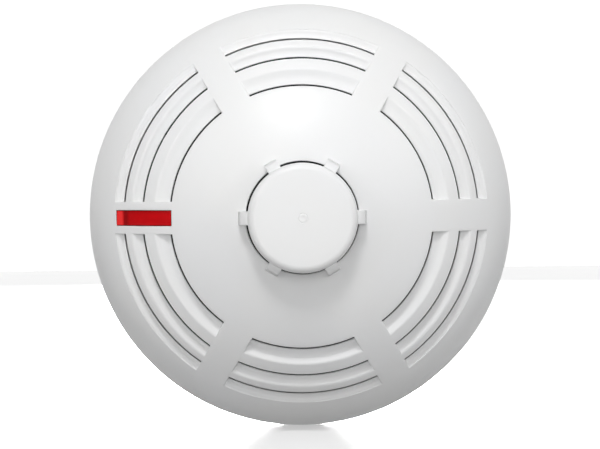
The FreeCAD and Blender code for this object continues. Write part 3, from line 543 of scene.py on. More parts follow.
def grown(mesh: bpy.types.Mesh, tree: bpy.types.NodeTree, values: Mapping[str, Any]) -> bpy.types.Mesh:
    """Runs a tree on a mesh.

    Args:
        mesh: The mesh that the tree starts from.
        tree: The Geometry Nodes tree.
        values: The tree's inputs by name.

    Returns:
        The result as a plain mesh, its faces outwards.
    """
    carrier = bpy.data.objects.new("carrier", mesh)
    bpy.context.scene.collection.objects.link(carrier)
    modifier = carrier.modifiers.new("grow", "NODES")
    modifier.node_group = tree
    for item in tree.interface.items_tree:
        if item.item_type == "SOCKET" and item.in_out == "INPUT" and item.name in values:
            modifier[item.identifier] = values[item.name]
    evaluated = carrier.evaluated_get(bpy.context.evaluated_depsgraph_get())
    result = bpy.data.meshes.new_from_object(evaluated)
    bpy.data.objects.remove(carrier)
    face_outwards(result)
    return result


# --- Mesh helpers ---


def face_outwards(mesh: bpy.types.Mesh) -> None:
    """Merges doubles and turns every face of a closed mesh outwards."""
    work = bmesh.new()
    work.from_mesh(mesh)
    bmesh.ops.remove_doubles(work, verts=work.verts, dist=DOUBLE_WELD * MM)
    bmesh.ops.recalc_face_normals(work, faces=work.faces)
    work.to_mesh(mesh)
    work.free()
    mesh.shade_smooth()


def evenly(start: float, end: float, steps: int) -> List[float]:
    """Numbers from start to end in equal steps."""
    return [start + (end - start) * index / steps for index in range(steps + 1)]


def row_point(x: float, y: float, front: float) -> Vector:
    """A point of the row's frame from millimetres across, up and out of the wall."""
    return Vector((x, -front, y)) * MM


def rounded(corners: Sequence[Corner], steps: int = 5) -> Outline:
    """A closed outline with rounded corners.

    Args:
        corners: Radius, height and rounding of each corner.
        steps: Straight pieces in each rounding.

    Returns:
        The outline's points.
    """
    outline: Outline = []
    for index, (radius, height, rounding) in enumerate(corners):
        here = Vector((radius, height))
        if rounding == 0.0:
            outline.append((radius, height))
            continue
        back = (Vector(corners[index - 1][:2]) - here).normalized()
        ahead = (Vector(corners[(index + 1) % len(corners)][:2]) - here).normalized()
        half = back.angle(ahead) / 2
        centre = here + (back + ahead).normalized() * (rounding / math.sin(half))
        start = here + back * (rounding / math.tan(half)) - centre
        end = here + ahead * (rounding / math.tan(half)) - centre
        turn = start.angle_signed(end)
        for angle in evenly(0.0, -turn, steps):
            arm = start.copy()
            arm.rotate(Matrix.Rotation(angle, 2))
            outline.append(tuple(centre + arm))
    return outline


def outline_mesh(outline: Outline, path_radius: float) -> bpy.types.Mesh:
    """An outline as loose edges, ready to be swept along a path of a given radius."""
    mesh = bpy.data.meshes.new("outline")
    points = [((radius - path_radius) * MM, -height * MM, 0.0) for radius, height in outline]
    count = len(points)
    mesh.from_pydata(points, [(index, (index + 1) % count) for index in range(count)], [])
    return mesh


class Surface:
    """A mesh in cylindrical millimetres: radius, angle and height out of the wall."""

    def __init__(self) -> None:
        """Starts empty."""
        self.points: List[Vector] = []
        self.faces: List[Tuple[int, ...]] = []

    def point(self, radius: float, angle: float, height: float) -> int:
        """Adds a point and returns its number."""
        self.points.append(row_point(radius * math.cos(angle), radius * math.sin(angle), height))
        return len(self.points) - 1

    def strip(self, first: Sequence[int], second: Sequence[int], closed: bool = False) -> None:
        """Joins two rows of points with quads."""
        count = len(first)
        for index in range(count if closed else count - 1):
            after = (index + 1) % count
            self.faces.append((first[index], first[after], second[after], second[index]))

    def strips(self, rows: Sequence[Sequence[int]], closed: bool = False) -> None:
        """Joins each row of points to the next."""
        for first, second in zip(rows, rows[1:]):
            self.strip(first, second, closed)

    def mesh(self, name: str) -> bpy.types.Mesh:
        """The finished mesh, its faces outwards."""
        mesh = bpy.data.meshes.new(name)
        mesh.from_pydata(self.points, [], self.faces)
        face_outwards(mesh)
        return mesh


def add_piece(
    name: str,
    meshes: Sequence[bpy.types.Mesh],
    finish: bpy.types.Material,
    body: Body,
    nodes: Sequence[str] = (),
) -> bpy.types.Object:
    """Joins meshes into one piece, dresses it and hangs it on its body.

    Args:
        name: The piece's name.
        meshes: The meshes that it is made of.
        finish: Its material.
        body: The body that it moves with.
        nodes: The CAD nodes that it stands for.

    Returns:
        The new object.
    """
    work = bmesh.new()
    for mesh in meshes:
        work.from_mesh(mesh)
    joined = bpy.data.meshes.new(name)
    work.to_mesh(joined)
    work.free()
    joined.materials.clear()
    joined.materials.append(finish)
    joined.shade_smooth()
    for face in joined.polygons:
        face.material_index = 0
    piece = bpy.data.objects.new(name, joined)
    bpy.context.scene.collection.objects.link(piece)
    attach(piece, body.value)
    if nodes:
        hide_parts(*nodes)
    LOG.info("%s: %d faces", name, len(joined.polygons))
    return piece


# --- The cover's form ---


@dataclass(frozen=True)
class CoverForm:
    """The cover's skin in millimetres: drafted wall, shoulder arc and dome, each tangent to the next."""

    radius: float
    opening: float = 13.62
    back: float = 12.6
    wall: float = 1.8
    draft: float = math.radians(3.0)
    shoulder: float = 21.0
    dome_top: float = 55.5
    dome_rise: float = 18.9
    dome_inset: float = 6.96
    rim_rounding: float = 0.5
    land_rows: int = 3
    wall_rows: int = 4
    rim_rows: int = 5

    @property
    def dome_radius(self) -> float:
        """Radius of the dome's sphere."""
        span = self.radius - self.dome_inset
        return (span ** 2 + self.dome_rise ** 2) / (2 * self.dome_rise)

    @property
    def dome_centre(self) -> float:
        """Height of the dome's centre."""
        return self.dome_top - self.dome_radius

    def dome(self, radius: float, depth: float = 0.0) -> float:
        """Height of the dome, or of its parallel at a depth, at a radius."""
        return self.dome_centre + math.sqrt((self.dome_radius - depth) ** 2 - radius ** 2)

    def shoulder_centre(self) -> Vector:
        """Centre of the shoulder arc as radius and height."""
        inward = Vector((-math.cos(self.draft), -math.sin(self.draft)))
        upward = Vector((-math.sin(self.draft), math.cos(self.draft)))
        start = Vector((self.radius, self.back)) + inward * self.shoulder
        offset = start - Vector((0.0, self.dome_centre))
        along = upward.dot(offset)
        reach = self.dome_radius - self.shoulder
        return start + upward * (math.sqrt(along ** 2 - offset.dot(offset) + reach ** 2) - along)

    def dome_edge_angle(self) -> float:
        """Angle above the base plane at which the shoulder meets the dome."""
        arm = self.shoulder_centre() - Vector((0.0, self.dome_centre))
        return math.atan2(arm.y, arm.x)

    def dome_edge_radius(self) -> float:
        """Radius at which the dome meets the shoulder."""
        return self.dome_radius * math.cos(self.dome_edge_angle())

    def outer_rows(self, start: float, depth: float, count: int) -> Outline:
        """Points from a radius on the dome over the shoulder and down to the back edge."""
        centre = self.shoulder_centre()
        arm = self.shoulder - depth
        edge = self.dome_edge_angle()
        dome_end = (self.dome_radius - depth) * math.cos(edge)
        rows = [(radius, self.dome(radius, depth)) for radius in evenly(start, dome_end, self.land_rows)[1:]]
        for angle in evenly(edge, self.draft, count)[1:]:
            rows.append((centre.x + arm * math.cos(angle), centre.y + arm * math.sin(angle)))
        foot = Vector((self.radius - depth / math.cos(self.draft), self.back))
        top = Vector(rows[-1])
        side = -1.0 if depth == 0.0 else 1.0
        rounding = self.rim_rounding
        rows += [tuple(top.lerp(foot, share)) for share in evenly(0.0, 1.0, self.wall_rows)[1:-1]]
        corner = foot + (top - foot).normalized() * rounding + Vector((side * rounding, 0.0))
        for angle in evenly(0.0, math.pi / 2, self.rim_rows):
            rows.append((corner.x - side * rounding * math.cos(angle), corner.y - rounding * math.sin(angle)))
        return rows


@dataclass(frozen=True)
class LouvreForm:
    """The louvres' rings in millimetres, from the outermost inwards."""

    cover: CoverForm
    outer_land: float = 0.94
    recesses: Tuple[float, ...] = (2.6, 3.08, 4.22)
    lands: Tuple[float, ...] = (1.7, 2.62)
    ramp_depth: float = 2.2
    scoop: float = 0.35
    thickness: float = 1.3
    lip: float = 1.4
    slot: float = 0.42
    root: float = 0.45
    spoke_width: float = 7.9
    end_wall: float = 1.4
    end_wall_depth: float = 3.8
    rounding: float = 0.15
    under_rounding: float = 0.3
    crest_rounding: float = 1.1
    crest_sink: float = 0.18

    def rings(self) -> List[Tuple[float, float]]:
        """Lip and crest radius of each ring of recesses."""
        crest = self.cover.dome_edge_radius() - self.outer_land
        pairs = []
        for index, width in enumerate(self.recesses):
            pairs.append((crest - width, crest))
            crest -= width + (self.lands[index] if index < len(self.lands) else 0.0)
        return pairs

    def slat(self, lip: float, crest: float, land_end: Optional[float]) -> Outline:
        """One slat's outline.

        Args:
            lip: Radius of the lip that the ramp's foot lies beside.
            crest: Radius at which the ramp meets the dome.
            land_end: Radius of the lip that ends its land, or None where it runs on inside the shell.

        Returns:
            The outline from the land's end, back along its underside and up the ramp to the crest.
        """
        dome = self.cover.dome
        edge, under = self.rounding, self.under_rounding
        foot = lip + self.slot
        foot_height = dome(lip) - self.ramp_depth
        middle = (foot + crest) / 2
        middle_height = (foot_height + dome(crest)) / 2 - self.scoop
        if land_end is None:
            root = crest + self.root
            inside = dome(root, self.cover.wall) + self.root / 2
            outer = [(root, dome(root) - self.root, 0.0), (root, inside, 0.0)]
            crest_corner = (crest + edge, dome(crest) - self.crest_sink, 0.0)
        else:
            outer = [(land_end, dome(land_end), edge), (land_end, dome(land_end) - self.lip, edge)]
            crest_corner = (crest, dome(crest), self.crest_rounding)
        return rounded([
            *outer,
            (crest, dome(crest) - self.thickness, under),
            (foot, foot_height - self.thickness, under),
            (foot, foot_height, edge),
            (middle, middle_height, crest - foot),
            crest_corner,
        ])


# --- The head's sub-assemblies ---


@dataclass(frozen=True)
class WindowForm:
    """The indicator's window in the left spoke: its two ends and half its width, in millimetres."""

    inner: float
    outer: float
    half: float
    edge: float = 0.12
    sector: int = 3


@dataclass
class SkinEdges:
    """A skin's open edges: its two round rows, the loops of its louvre openings and of its window."""

    inner: List[int]
    outer: List[int]
    openings: List[List[int]]
    window: List[int]


@dataclass
class CoverShell:
    """The domed shell with six louvre openings between spokes; its two skins share one polar grid."""

    cover: CoverForm
    louvres: LouvreForm
    window: WindowForm
    rounding: float = 0.22
    near: float = 0.05
    lip_dip: float = 0.35
    spoke_columns: int = 7
    sector_columns: int = 46
    dome_rows: int = 20
    band_rows: int = 14
    shoulder_rows: int = 26
    edge_rows: int = 4

    def __post_init__(self) -> None:
        """Works out the openings' radii."""
        rings = self.louvres.rings()
        self.lip = rings[-1][0]
        self.crest = rings[0][1]
        self.half = self.louvres.spoke_width / 2
        self.even = STEP / 2 * self.spoke_columns / (self.spoke_columns + self.sector_columns)
        self.width = self.spoke_columns + self.sector_columns
        self.columns = SPOKES * self.width

    def spoke_angle(self, radius: float, growth: float) -> float:
        """Half the angle of a spoke at a radius, where the openings are grown by a margin."""
        return math.asin((self.half + growth) / radius)

    def shares(self, growth: float) -> List[float]:
        """Where the columns lie across a spoke, from -1 to 1, with two on the window's sides."""
        side = (self.window.half + (self.window.edge if growth > -1.0 else 0.0)) / (self.half + growth)
        outer = (1 + side) / 2
        return [-1.0, -outer, -side, -side / 3, side / 3, side, outer, 1.0]

    def places(self, growth: float) -> List[float]:
        """Distances from the axis of the straight rows across a spoke, two of them on the window's ends."""
        half = self.half + growth
        margin = self.window.edge if growth == -self.rounding else 0.0
        inner, outer = self.window.inner - margin, self.window.outer + margin
        first = math.sqrt((self.lip + growth + self.near) ** 2 - half ** 2)
        last = math.sqrt((self.crest - growth - self.near) ** 2 - half ** 2)
        return [first, *evenly(inner, outer, self.band_rows), last]

    def angles(self, spoke: float, shares: Sequence[float]) -> List[float]:
        """Angles of all columns where half a spoke spans the given angle."""
        reach = math.sin(spoke)
        across = [math.asin(share * reach) for share in shares]
        between = evenly(spoke, STEP - spoke, self.sector_columns)[1:-1]
        return [STEP * sector + angle for sector in range(SPOKES) for angle in across + between]

    def ring(
        self, surface: Surface, radius: float, height: float, spoke: float, shares: Sequence[float]
    ) -> List[int]:
        """One full row of points."""
        return [surface.point(radius, angle, height) for angle in self.angles(spoke, shares)]

    def skin(self, surface: Surface, growth: float, depth: float, start: float) -> SkinEdges:
        """One skin of the shell.

        Args:
            surface: The mesh to add to.
            growth: How far an opening's outline is moved inwards, negative when the opening is larger.
            depth: Depth under the outer skin.
            start: Radius of the innermost row.

        Returns:
            The skin's open edges.
        """
        low, high = self.lip + growth, self.crest - growth
        shares = self.shares(growth)
        lip_spoke, crest_spoke = self.spoke_angle(low, growth), self.spoke_angle(high, growth)
        rows = []
        for part in evenly(0.0, 1.0, self.dome_rows)[:-1]:
            radius = start + (low - self.lip_dip - start) * part
            spoke = self.even + (lip_spoke - self.even) * part
            rows.append(self.ring(surface, radius, self.cover.dome(radius, depth), spoke, shares))
        lip_row = []
        for column, angle in enumerate(self.angles(lip_spoke, shares)):
            place = column % self.width
            dip = self.lip_dip * (1 - shares[place] ** 2) if place <= self.spoke_columns else 0.0
            lip_row.append(surface.point(low - dip, angle, self.cover.dome(low - dip, depth)))
        rows.append(lip_row)
        shell = [self.ring(surface, high, self.cover.dome(high, depth), crest_spoke, shares)]
        outer = self.cover.outer_rows(high, depth, self.shoulder_rows)
        for index, (radius, height) in enumerate(outer, start=1):
            part = min(1.0, index / self.shoulder_rows)
            spoke = crest_spoke + (self.even - crest_spoke) * part
            shell.append(self.ring(surface, radius, height, spoke, shares))
        surface.strips(rows, closed=True)
        surface.strips(shell, closed=True)
        sides, window_loop = self.bands(surface, growth, depth, (lip_row, shell[0]))
        loops = []
        for sector in range(SPOKES):
            begin = sector * self.width + self.spoke_columns
            arc = [(begin + step) % self.columns for step in range(self.sector_columns + 1)]
            after = sides[(sector + 1) % SPOKES][0]
            before = sides[sector][1]
            lip_part = [lip_row[column] for column in arc]
            crest_part = [shell[0][column] for column in reversed(arc)]
            loops.append(lip_part + after + crest_part + before[::-1])
        return SkinEdges(rows[0], shell[-1], loops, window_loop)

    def bands(
        self, surface: Surface, growth: float, depth: float, ends: Tuple[List[int], List[int]]
    ) -> Tuple[List[Tuple[List[int], List[int]]], List[int]]:
        """The spokes between the openings.

        Args:
            surface: The mesh to add to.
            growth: As for the skin.
            depth: As for the skin.
            ends: The rows at the lip and at the crest.

        Returns:
            The two side columns of each spoke, and the loop round the window.
        """
        half = self.half + growth
        shares = self.shares(growth)
        sides = []
        window_loop: List[int] = []
        for sector in range(SPOKES):
            span = range(sector * self.width, sector * self.width + self.spoke_columns + 1)
            grid = [[ends[0][column] for column in span]]
            for place in self.places(growth):
                row = []
                for share in shares:
                    radius = math.hypot(place, half * share)
                    angle = STEP * sector + math.atan2(half * share, place)
                    row.append(surface.point(radius, angle, self.cover.dome(radius, depth)))
                grid.append(row)
            grid.append([ends[1][column] for column in span])
            if sector == self.window.sector:
                window_loop = self.pierced(surface, grid)
            else:
                surface.strips(grid)
            sides.append(([row[0] for row in grid[1:-1]], [row[-1] for row in grid[1:-1]]))
        return sides, window_loop

    def pierced(self, surface: Surface, grid: List[List[int]]) -> List[int]:
        """Faces of the spoke that holds the window, left out inside it.

        Args:
            surface: The mesh to add to.
            grid: The spoke's points, row by row.

        Returns:
            The loop of points round the window.
        """
        first, last = 2, len(grid) - 3
        left, right = 2, self.spoke_columns - 2
        for index, (one, two) in enumerate(zip(grid, grid[1:])):
            if first <= index < last:
                surface.strip(one[:left + 1], two[:left + 1])
                surface.strip(one[right:], two[right:])
            else:
                surface.strip(one, two)
        across = grid[first][left:right + 1]
        along = [row[right] for row in grid[first + 1:last]]
        back = grid[last][left:right + 1][::-1]
        return across + along + back + [row[left] for row in grid[first + 1:last]][::-1]

    def window_row(self, surface: Surface, margin: float, depth: float) -> List[int]:
        """One loop of the window's wall, in the order of the skins' window loops.

        Args:
            surface: The mesh to add to.
            margin: How far it lies outside the window's outline.
            depth: Depth under the outer skin.

        Returns:
            The loop's points.
        """
        inner, outer = self.window.inner - margin, self.window.outer + margin
        half = self.window.half + margin
        across = [half * share for share in (-1.0, -1 / 3, 1 / 3, 1.0)]
        along = evenly(inner, outer, self.band_rows)[1:-1]
        spots = [(inner, y) for y in across] + [(x, half) for x in along]
        spots += [(outer, y) for y in across[::-1]] + [(x, -half) for x in along[::-1]]
        middle = STEP * self.window.sector
        row = []
        for x, y in spots:
            radius = math.hypot(x, y)
            row.append(surface.point(radius, middle + math.atan2(y, x), self.cover.dome(radius) - depth))
        return row

    def loop(self, surface: Surface, sector: int, growth: float, depths: Corner) -> List[int]:
        """One loop of an opening's wall.

        Args:
            surface: The mesh to add to.
            sector: The opening's number.
            growth: How far the loop lies inside the opening's outline, negative towards the spokes.
            depths: Depth under the skin at the lip, the sides and the crest.

        Returns:
            The loop's points, in the order of the skins' loops.
        """
        lip_depth, side_depth, crest_depth = depths
        start, end = STEP * sector, STEP * (sector + 1)
        half = self.half + growth
        points = []
        sides = ((self.lip + growth, lip_depth, 1), (self.crest - growth, crest_depth, -1))
        for radius, depth, order in sides:
            spoke = self.spoke_angle(radius, growth)
            for angle in evenly(start + spoke, end - spoke, self.sector_columns)[::order]:
                points.append(surface.point(radius, angle, self.cover.dome(radius) - depth))
            for place in self.places(growth)[::order]:
                lean = math.atan2(half, place)
                reach = math.hypot(place, half)
                angle = end - lean if order == 1 else start + lean
                points.append(surface.point(reach, angle, self.cover.dome(reach) - side_depth))
        return points

    def mesh(self) -> bpy.types.Mesh:
        """Both skins, the walls of the openings and of the window, and the two round edges."""
        surface = Surface()
        edge = self.rounding
        flange = self.louvres.end_wall
        wall = self.cover.wall
        top = self.skin(surface, -edge, 0.0, self.cover.opening + edge)
        under = self.skin(surface, -flange, wall, self.cover.opening)
        lip_depth = self.cover.dome(self.lip) - self.cover.dome(self.lip, wall)
        deep = (lip_depth, self.louvres.end_wall_depth, self.louvres.end_wall_depth)
        turns = evenly(0.0, math.pi / 2, self.edge_rows)[1:]
        for sector in range(SPOKES):
            rows = [top.openings[sector]]
            for turn in turns:
                depth = edge * (1 - math.cos(turn))
                rows.append(self.loop(surface, sector, edge * (math.sin(turn) - 1), (depth, depth, depth)))
            rows.append(self.loop(surface, sector, 0.0, deep))
            rows.append(self.loop(surface, sector, -flange, deep))
            rows.append(under.openings[sector])
            surface.strips(rows, closed=True)
        rows = [top.window]
        for turn in turns:
            margin = self.window.edge * (1 - math.sin(turn))
            rows.append(self.window_row(surface, margin, self.window.edge * (1 - math.cos(turn))))
        rows.append(under.window)
        surface.strips(rows, closed=True)
        rows = [top.inner]
        for turn in turns:
            radius = self.cover.opening + edge * (1 - math.sin(turn))
            height = self.cover.dome(radius) - edge * (1 - math.cos(turn))
            rows.append(self.ring(surface, radius, height, self.even, self.shares(-edge)))
        rows.append(under.inner)
        surface.strips(rows, closed=True)
        surface.strip(top.outer, under.outer, closed=True)
        return surface.mesh("cover_shell")


@dataclass
class Louvres:
    """The slats between the spokes."""

    form: LouvreForm
    segments: int = 48
    end_overlap: float = 0.25

    def meshes(self, tree: bpy.types.NodeTree, finish: bpy.types.Material) -> List[bpy.types.Mesh]:
        """Each ring of slats, swept along an arc and repeated between the spokes."""
        result = []
        land_end: Optional[float] = None
        for lip, crest in self.form.rings():
            widest = land_end or crest + self.form.root
            middle = (lip + widest) / 2
            start = math.asin((self.form.spoke_width / 2 - self.end_overlap) / widest)
            outline = outline_mesh(self.form.slat(lip, crest, land_end), middle)
            result.append(grown(outline, tree, {
                "Path radius": middle * MM,
                "Sweep": STEP - 2 * start,
                "Segments": self.segments,
                "Count": SPOKES,
                "Start": start,
                "Finish": finish,
            }))
            land_end = lip
        return result


@dataclass
class SensingCage:
    """The round cap on six ribs over the sensing bead."""

    cover: CoverForm
    top: float
    radius: float = 13.2
    window: float = 4.6
    crown: float = 0.4
    wall: float = 1.7
    rounding: float = 1.9
    gate_radius: float = 1.3
    gate_dimple: float = 0.06
    gate_groove: float = 0.09
    cap_segments: int = 192
    rib_width: float = 3.25
    rib_reach: float = 1.7
    rib_rise: float = 0.5
    rib_fall: float = 1.9
    rib_slope: float = 0.7
    rib_depth: float = 2.4
    rib_edge: float = 0.2

    @property
    def cap_bottom(self) -> float:
        """Height of the cap's lower edge."""
        return self.cover.dome(self.cover.opening) + self.window

    def cap(self, tree: bpy.types.NodeTree, finish: bpy.types.Material) -> bpy.types.Mesh:
        """The cap, turned from its outline, with the moulding gate's shallow ring in its middle."""
        start = self.radius - self.rounding
        hollow = self.radius - self.wall
        hollow_height = self.top - self.crown - self.wall
        gate = self.gate_radius
        outline = rounded([
            (0.0, self.top - self.gate_dimple, 0.0),
            (gate * 0.28, self.top - self.gate_dimple, 0.1),
            (gate * 0.5, self.top, 0.1),
            (gate * 0.72, self.top, 0.05),
            (gate * 0.85, self.top - self.gate_groove, 0.08),
            (gate, self.top - 0.01, 0.08),
            (start * 0.6, self.top - self.crown * 0.4, start * 3),
            (self.radius, self.top - self.crown, self.rounding),
            (self.radius, self.cap_bottom, 0.15),
            (hollow, self.cap_bottom, 0.2),
            (hollow, hollow_height, 0.6),
            (0.0, hollow_height, 0.0),
        ], 10)
        path = 1.0
        return grown(outline_mesh(outline, path), tree, {
            "Path radius": path * MM,
            "Segments": self.cap_segments,
            "Count": 1,
            "Start": 0.0,
            "Finish": finish,
        })

    def rib(self) -> bpy.types.Mesh:
        """One rib with softened edges, its front end sloping outwards, standing on the X axis."""
        outer = self.radius + self.rib_reach
        inner = self.radius - self.wall
        foot = self.cover.dome(outer, self.cover.wall / 2)
        top = self.cap_bottom + self.rib_rise
        outline = rounded([
            (inner, top, 0.0),
            (self.radius, top, 0.0),
            (outer, top - self.rib_fall, self.rib_edge),
            (outer + self.rib_slope, foot, 0.0),
            (inner, foot - self.rib_depth, 0.0),
        ])
        work = bmesh.new()
        half = self.rib_width / 2
        near = [work.verts.new(Vector((radius, -half, height)) * MM) for radius, height in outline]
        far = [work.verts.new(Vector((radius, half, height)) * MM) for radius, height in outline]
        count = len(outline)
        work.faces.new(near)
        work.faces.new(far[::-1])
        for index in range(count):
            after = (index + 1) % count
            work.faces.new((near[after], near[index], far[index], far[after]))
        rim = [edge for edge in work.edges if edge.verts[0].co.y == edge.verts[1].co.y]
        bmesh.ops.bevel(work, geom=rim, offset=self.rib_edge * MM, segments=3, affect="EDGES", profile=0.5)
        mesh = bpy.data.meshes.new("rib")
        work.to_mesh(mesh)
        work.free()
        return mesh

    def ribs(self, tree: bpy.types.NodeTree, finish: bpy.types.Material) -> bpy.types.Mesh:
        """All six ribs."""
        return grown(self.rib(), tree, {"Count": SPOKES, "Start": 0.0, "Finish": finish})


@dataclass
class CoverPosts:
    """The screw posts inside the cover."""

    cover: CoverForm
    circle: float
    foot: float
    radius: float = 3.0
    bore: float = 1.3
    bore_depth: float = 10.8
    count: int = 3
    segments: int = 40

    def mesh(self, tree: bpy.types.NodeTree, finish: bpy.types.Material) -> bpy.types.Mesh:
        """The posts, each a tapering turned shape with a blind bore."""
        top = self.cover.dome(self.circle + self.radius, self.cover.wall / 2)
        outline = rounded([
            (self.bore, self.foot, 0.1),
            (self.radius, self.foot, 0.3),
            (self.radius, top, 0.0),
            (0.0, top, 0.0),
            (0.0, self.foot + self.bore_depth, 0.0),
            (self.bore, self.foot + self.bore_depth, 0.0),
        ])
        surface = Surface()
        turns = evenly(0.0, math.tau, self.segments)[:-1]
        rows = [[surface.point(radius, turn, height) for turn in turns] for radius, height in outline]
        surface.strips(rows + rows[:1], closed=True)
        mesh = surface.mesh("post")
        mesh.transform(Matrix.Rotation(-math.pi / 2, 4, "X"))
        mesh.transform(Matrix.Translation((self.circle * MM, 0.0, 0.0)))
        return grown(mesh, tree, {"Count": self.count, "Start": 0.0, "Finish": finish})


@dataclass
class LightGuide:
    """The red window in the left spoke, with the stem that brings it the status light."""

    cover: CoverForm
    inner: float
    outer: float
    width: float
    foot_radius: float
    foot_height: float
    recess: float = 0.15
    depth: float = 3.0
    foot_length: float = 4.0
    foot_width: float = 3.0
    rounding: float = 0.18
    rows: int = 28
    columns: int = 10
    edge_rows: int = 4

    def loop(self, margin: float) -> List[Tuple[float, float]]:
        """Distance from the axis and distance across of the points round the window, set in by a margin."""
        low, high = self.inner + margin, self.outer - margin
        half = self.width / 2 - margin
        along, across = evenly(low, high, self.rows), evenly(-half, half, self.columns)
        loop = [(place, -half) for place in along] + [(high, place) for place in across[1:]]
        return loop + [(place, half) for place in along[-2::-1]] + [(low, place) for place in across[-2:0:-1]]

    def mesh(self) -> bpy.types.Mesh:
        """The window's face on the dome, its softened edge, and the walls down to the foot."""
        surface = Surface()

        def add(place: float, across: float, height: float) -> int:
            """Adds a point of the left spoke."""
            surface.points.append(row_point(-place, across, height))
            return len(surface.points) - 1

        def face(place: float, across: float) -> float:
            """Height of the window's face."""
            return self.cover.dome(math.hypot(place, across), self.recess)

        margin = self.rounding
        half = self.width / 2 - margin
        grid = []
        for place in evenly(self.inner + margin, self.outer - margin, self.rows):
            line = evenly(-half, half, self.columns)
            grid.append([add(place, across, face(place, across)) for across in line])
        surface.strips(grid)
        loops = []
        for turn in evenly(0.0, math.pi / 2, self.edge_rows):
            drop = margin * (1 - math.cos(turn))
            outline = self.loop(margin * (1 - math.sin(turn)))
            loops.append([add(place, across, face(place, across) - drop) for place, across in outline])
        outline = self.loop(0.0)
        loops.append([add(place, across, face(place, across) - self.depth) for place, across in outline])
        middle = (self.inner + self.outer) / 2
        taper = self.foot_length / (self.outer - self.inner)
        for share in (0.5, 1.0):
            ring = []
            for place, across in outline:
                foot_place = self.foot_radius + (place - middle) * taper
                foot_across = across * self.foot_width / self.width
                start = face(place, across) - self.depth
                ring.append(add(
                    place + (foot_place - place) * share,
                    across + (foot_across - across) * share,
                    start + (self.foot_height - start) * share,
                ))
            loops.append(ring)
        surface.strips(loops, closed=True)
        surface.faces.append(tuple(loops[-1]))
        return surface.mesh("light_guide")


@dataclass
class Head:
    """The detector head. Its cover, cage and light guide are rebuilt, the rest keeps its CAD form."""

    guide_length: float = 13.8
    guide_half: float = 1.85
    guide_gap: float = 0.1
    screw_head: float = 2.7

    def __post_init__(self) -> None:
        """Reads the pieces' places from the CAD frame."""
        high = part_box("front_cover")[1]
        self.cover = CoverForm(radius=high.z / MM)
        self.louvres = LouvreForm(self.cover)
        outer = self.louvres.rings()[0][1] - self.louvres.root
        inner = outer - self.guide_length
        gap = self.guide_gap
        window = WindowForm(inner - gap, outer + gap, self.guide_half + gap)
        self.shell = CoverShell(self.cover, self.louvres, window)
        self.cage = SensingCage(self.cover, top=-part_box("sensing_cage")[0].y / MM)
        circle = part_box("cover_screws")[1].x / MM - self.screw_head
        self.posts = CoverPosts(self.cover, circle=circle, foot=-high.y / MM)
        led_low, led_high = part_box("status_led")
        self.guide = LightGuide(
            self.cover,
            inner=inner,
            outer=outer,
            width=2 * self.guide_half,
            foot_radius=-(led_low.x + led_high.x) / 2 / MM,
            foot_height=-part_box("light_guide")[1].y / MM,
        )

    def build(self, finishes: Dict[str, bpy.types.Material]) -> None:
        """Makes the cover, the cage and the light guide.

        Args:
            finishes: Materials by record slot.
        """
        white = finishes["cover_white"]
        lathe, ring, sweep = lathe_tree(), ring_array_tree(), arc_sweep_tree()
        louvres = Louvres(self.louvres).meshes(sweep, white)
        cover = [self.shell.mesh(), *louvres, self.posts.mesh(ring, white)]
        add_piece("cover", cover, white, Body.HEAD, ["front_cover"])
        cage = [self.cage.cap(lathe, white), self.cage.ribs(ring, white)]
        add_piece("cage", cage, white, Body.HEAD, ["sensing_cage"])
        red = finishes["guide_red"]
        add_piece("indicator", [self.guide.mesh()], red, Body.HEAD, ["light_guide"])


# --- Finishes of the whole detector ---


def make_finishes(guide_end: float) -> Dict[str, bpy.types.Material]:
    """Every finish by record slot.

    Args:
        guide_end: Distance of the light guide's outer end from the axis, in millimetres.

    Returns:
        The materials by slot.
    """
    kinds = (
        MouldedPlastic("cover_white", (0.83, 0.835, 0.84)),
        MouldedPlastic("housing_white", (0.78, 0.785, 0.78), roughness=0.5, grain=0.3, grain_depth=0.015),
        ClearRedPlastic("guide_red", guide_end),
        WorkedMetal("spring_metal", (0.72, 0.66, 0.52)),
        WorkedMetal("plated_steel", (0.62, 0.64, 0.66), 0.28, (0.5, 0.47, 0.36), Grain.UPRIGHT),
        WorkedMetal("rivet_brass", (0.78, 0.56, 0.24), 0.25, (0.35, 0.22, 0.08), Grain.TURNED),
        WorkedMetal("tinned_wire", (0.7, 0.7, 0.68), 0.22, (0.45, 0.44, 0.4), Grain.TURNED),
        SolderMask("board_green"),
        MouldedPlastic("shroud_grey", (0.035, 0.035, 0.037), roughness=0.55, grain=0.25, grain_depth=0.012),
        DippedResin("bead_glass", (0.03, 0.024, 0.02)),
        MouldedEpoxy("sleeve_black", (0.02, 0.02, 0.02), 0.6),
        DippedResin("led_red", (0.5, 0.03, 0.02)),
        MouldedEpoxy("chip_black", (0.018, 0.018, 0.02)),
        WorkedMetal("can_aluminium", (0.75, 0.76, 0.77), 0.25, (0.6, 0.6, 0.6), Grain.TURNED),
        MouldedEpoxy("ceramic_tan", (0.32, 0.2, 0.1), 0.4),
    )
    return {kind.name: kind.material() for kind in kinds}


def dress_nodes(finishes: Dict[str, bpy.types.Material]) -> None:
    """Gives each CAD node the finish that the record names for it."""
    for part in frame["record"]["subparts"]:
        node = frame["nodes"][part["node"]]
        for slot in node.material_slots:
            slot.material = finishes[part["material_slot"]]
        LOG.info("%s: %s", part["node"], part["material_slot"])


# --- Studio ---


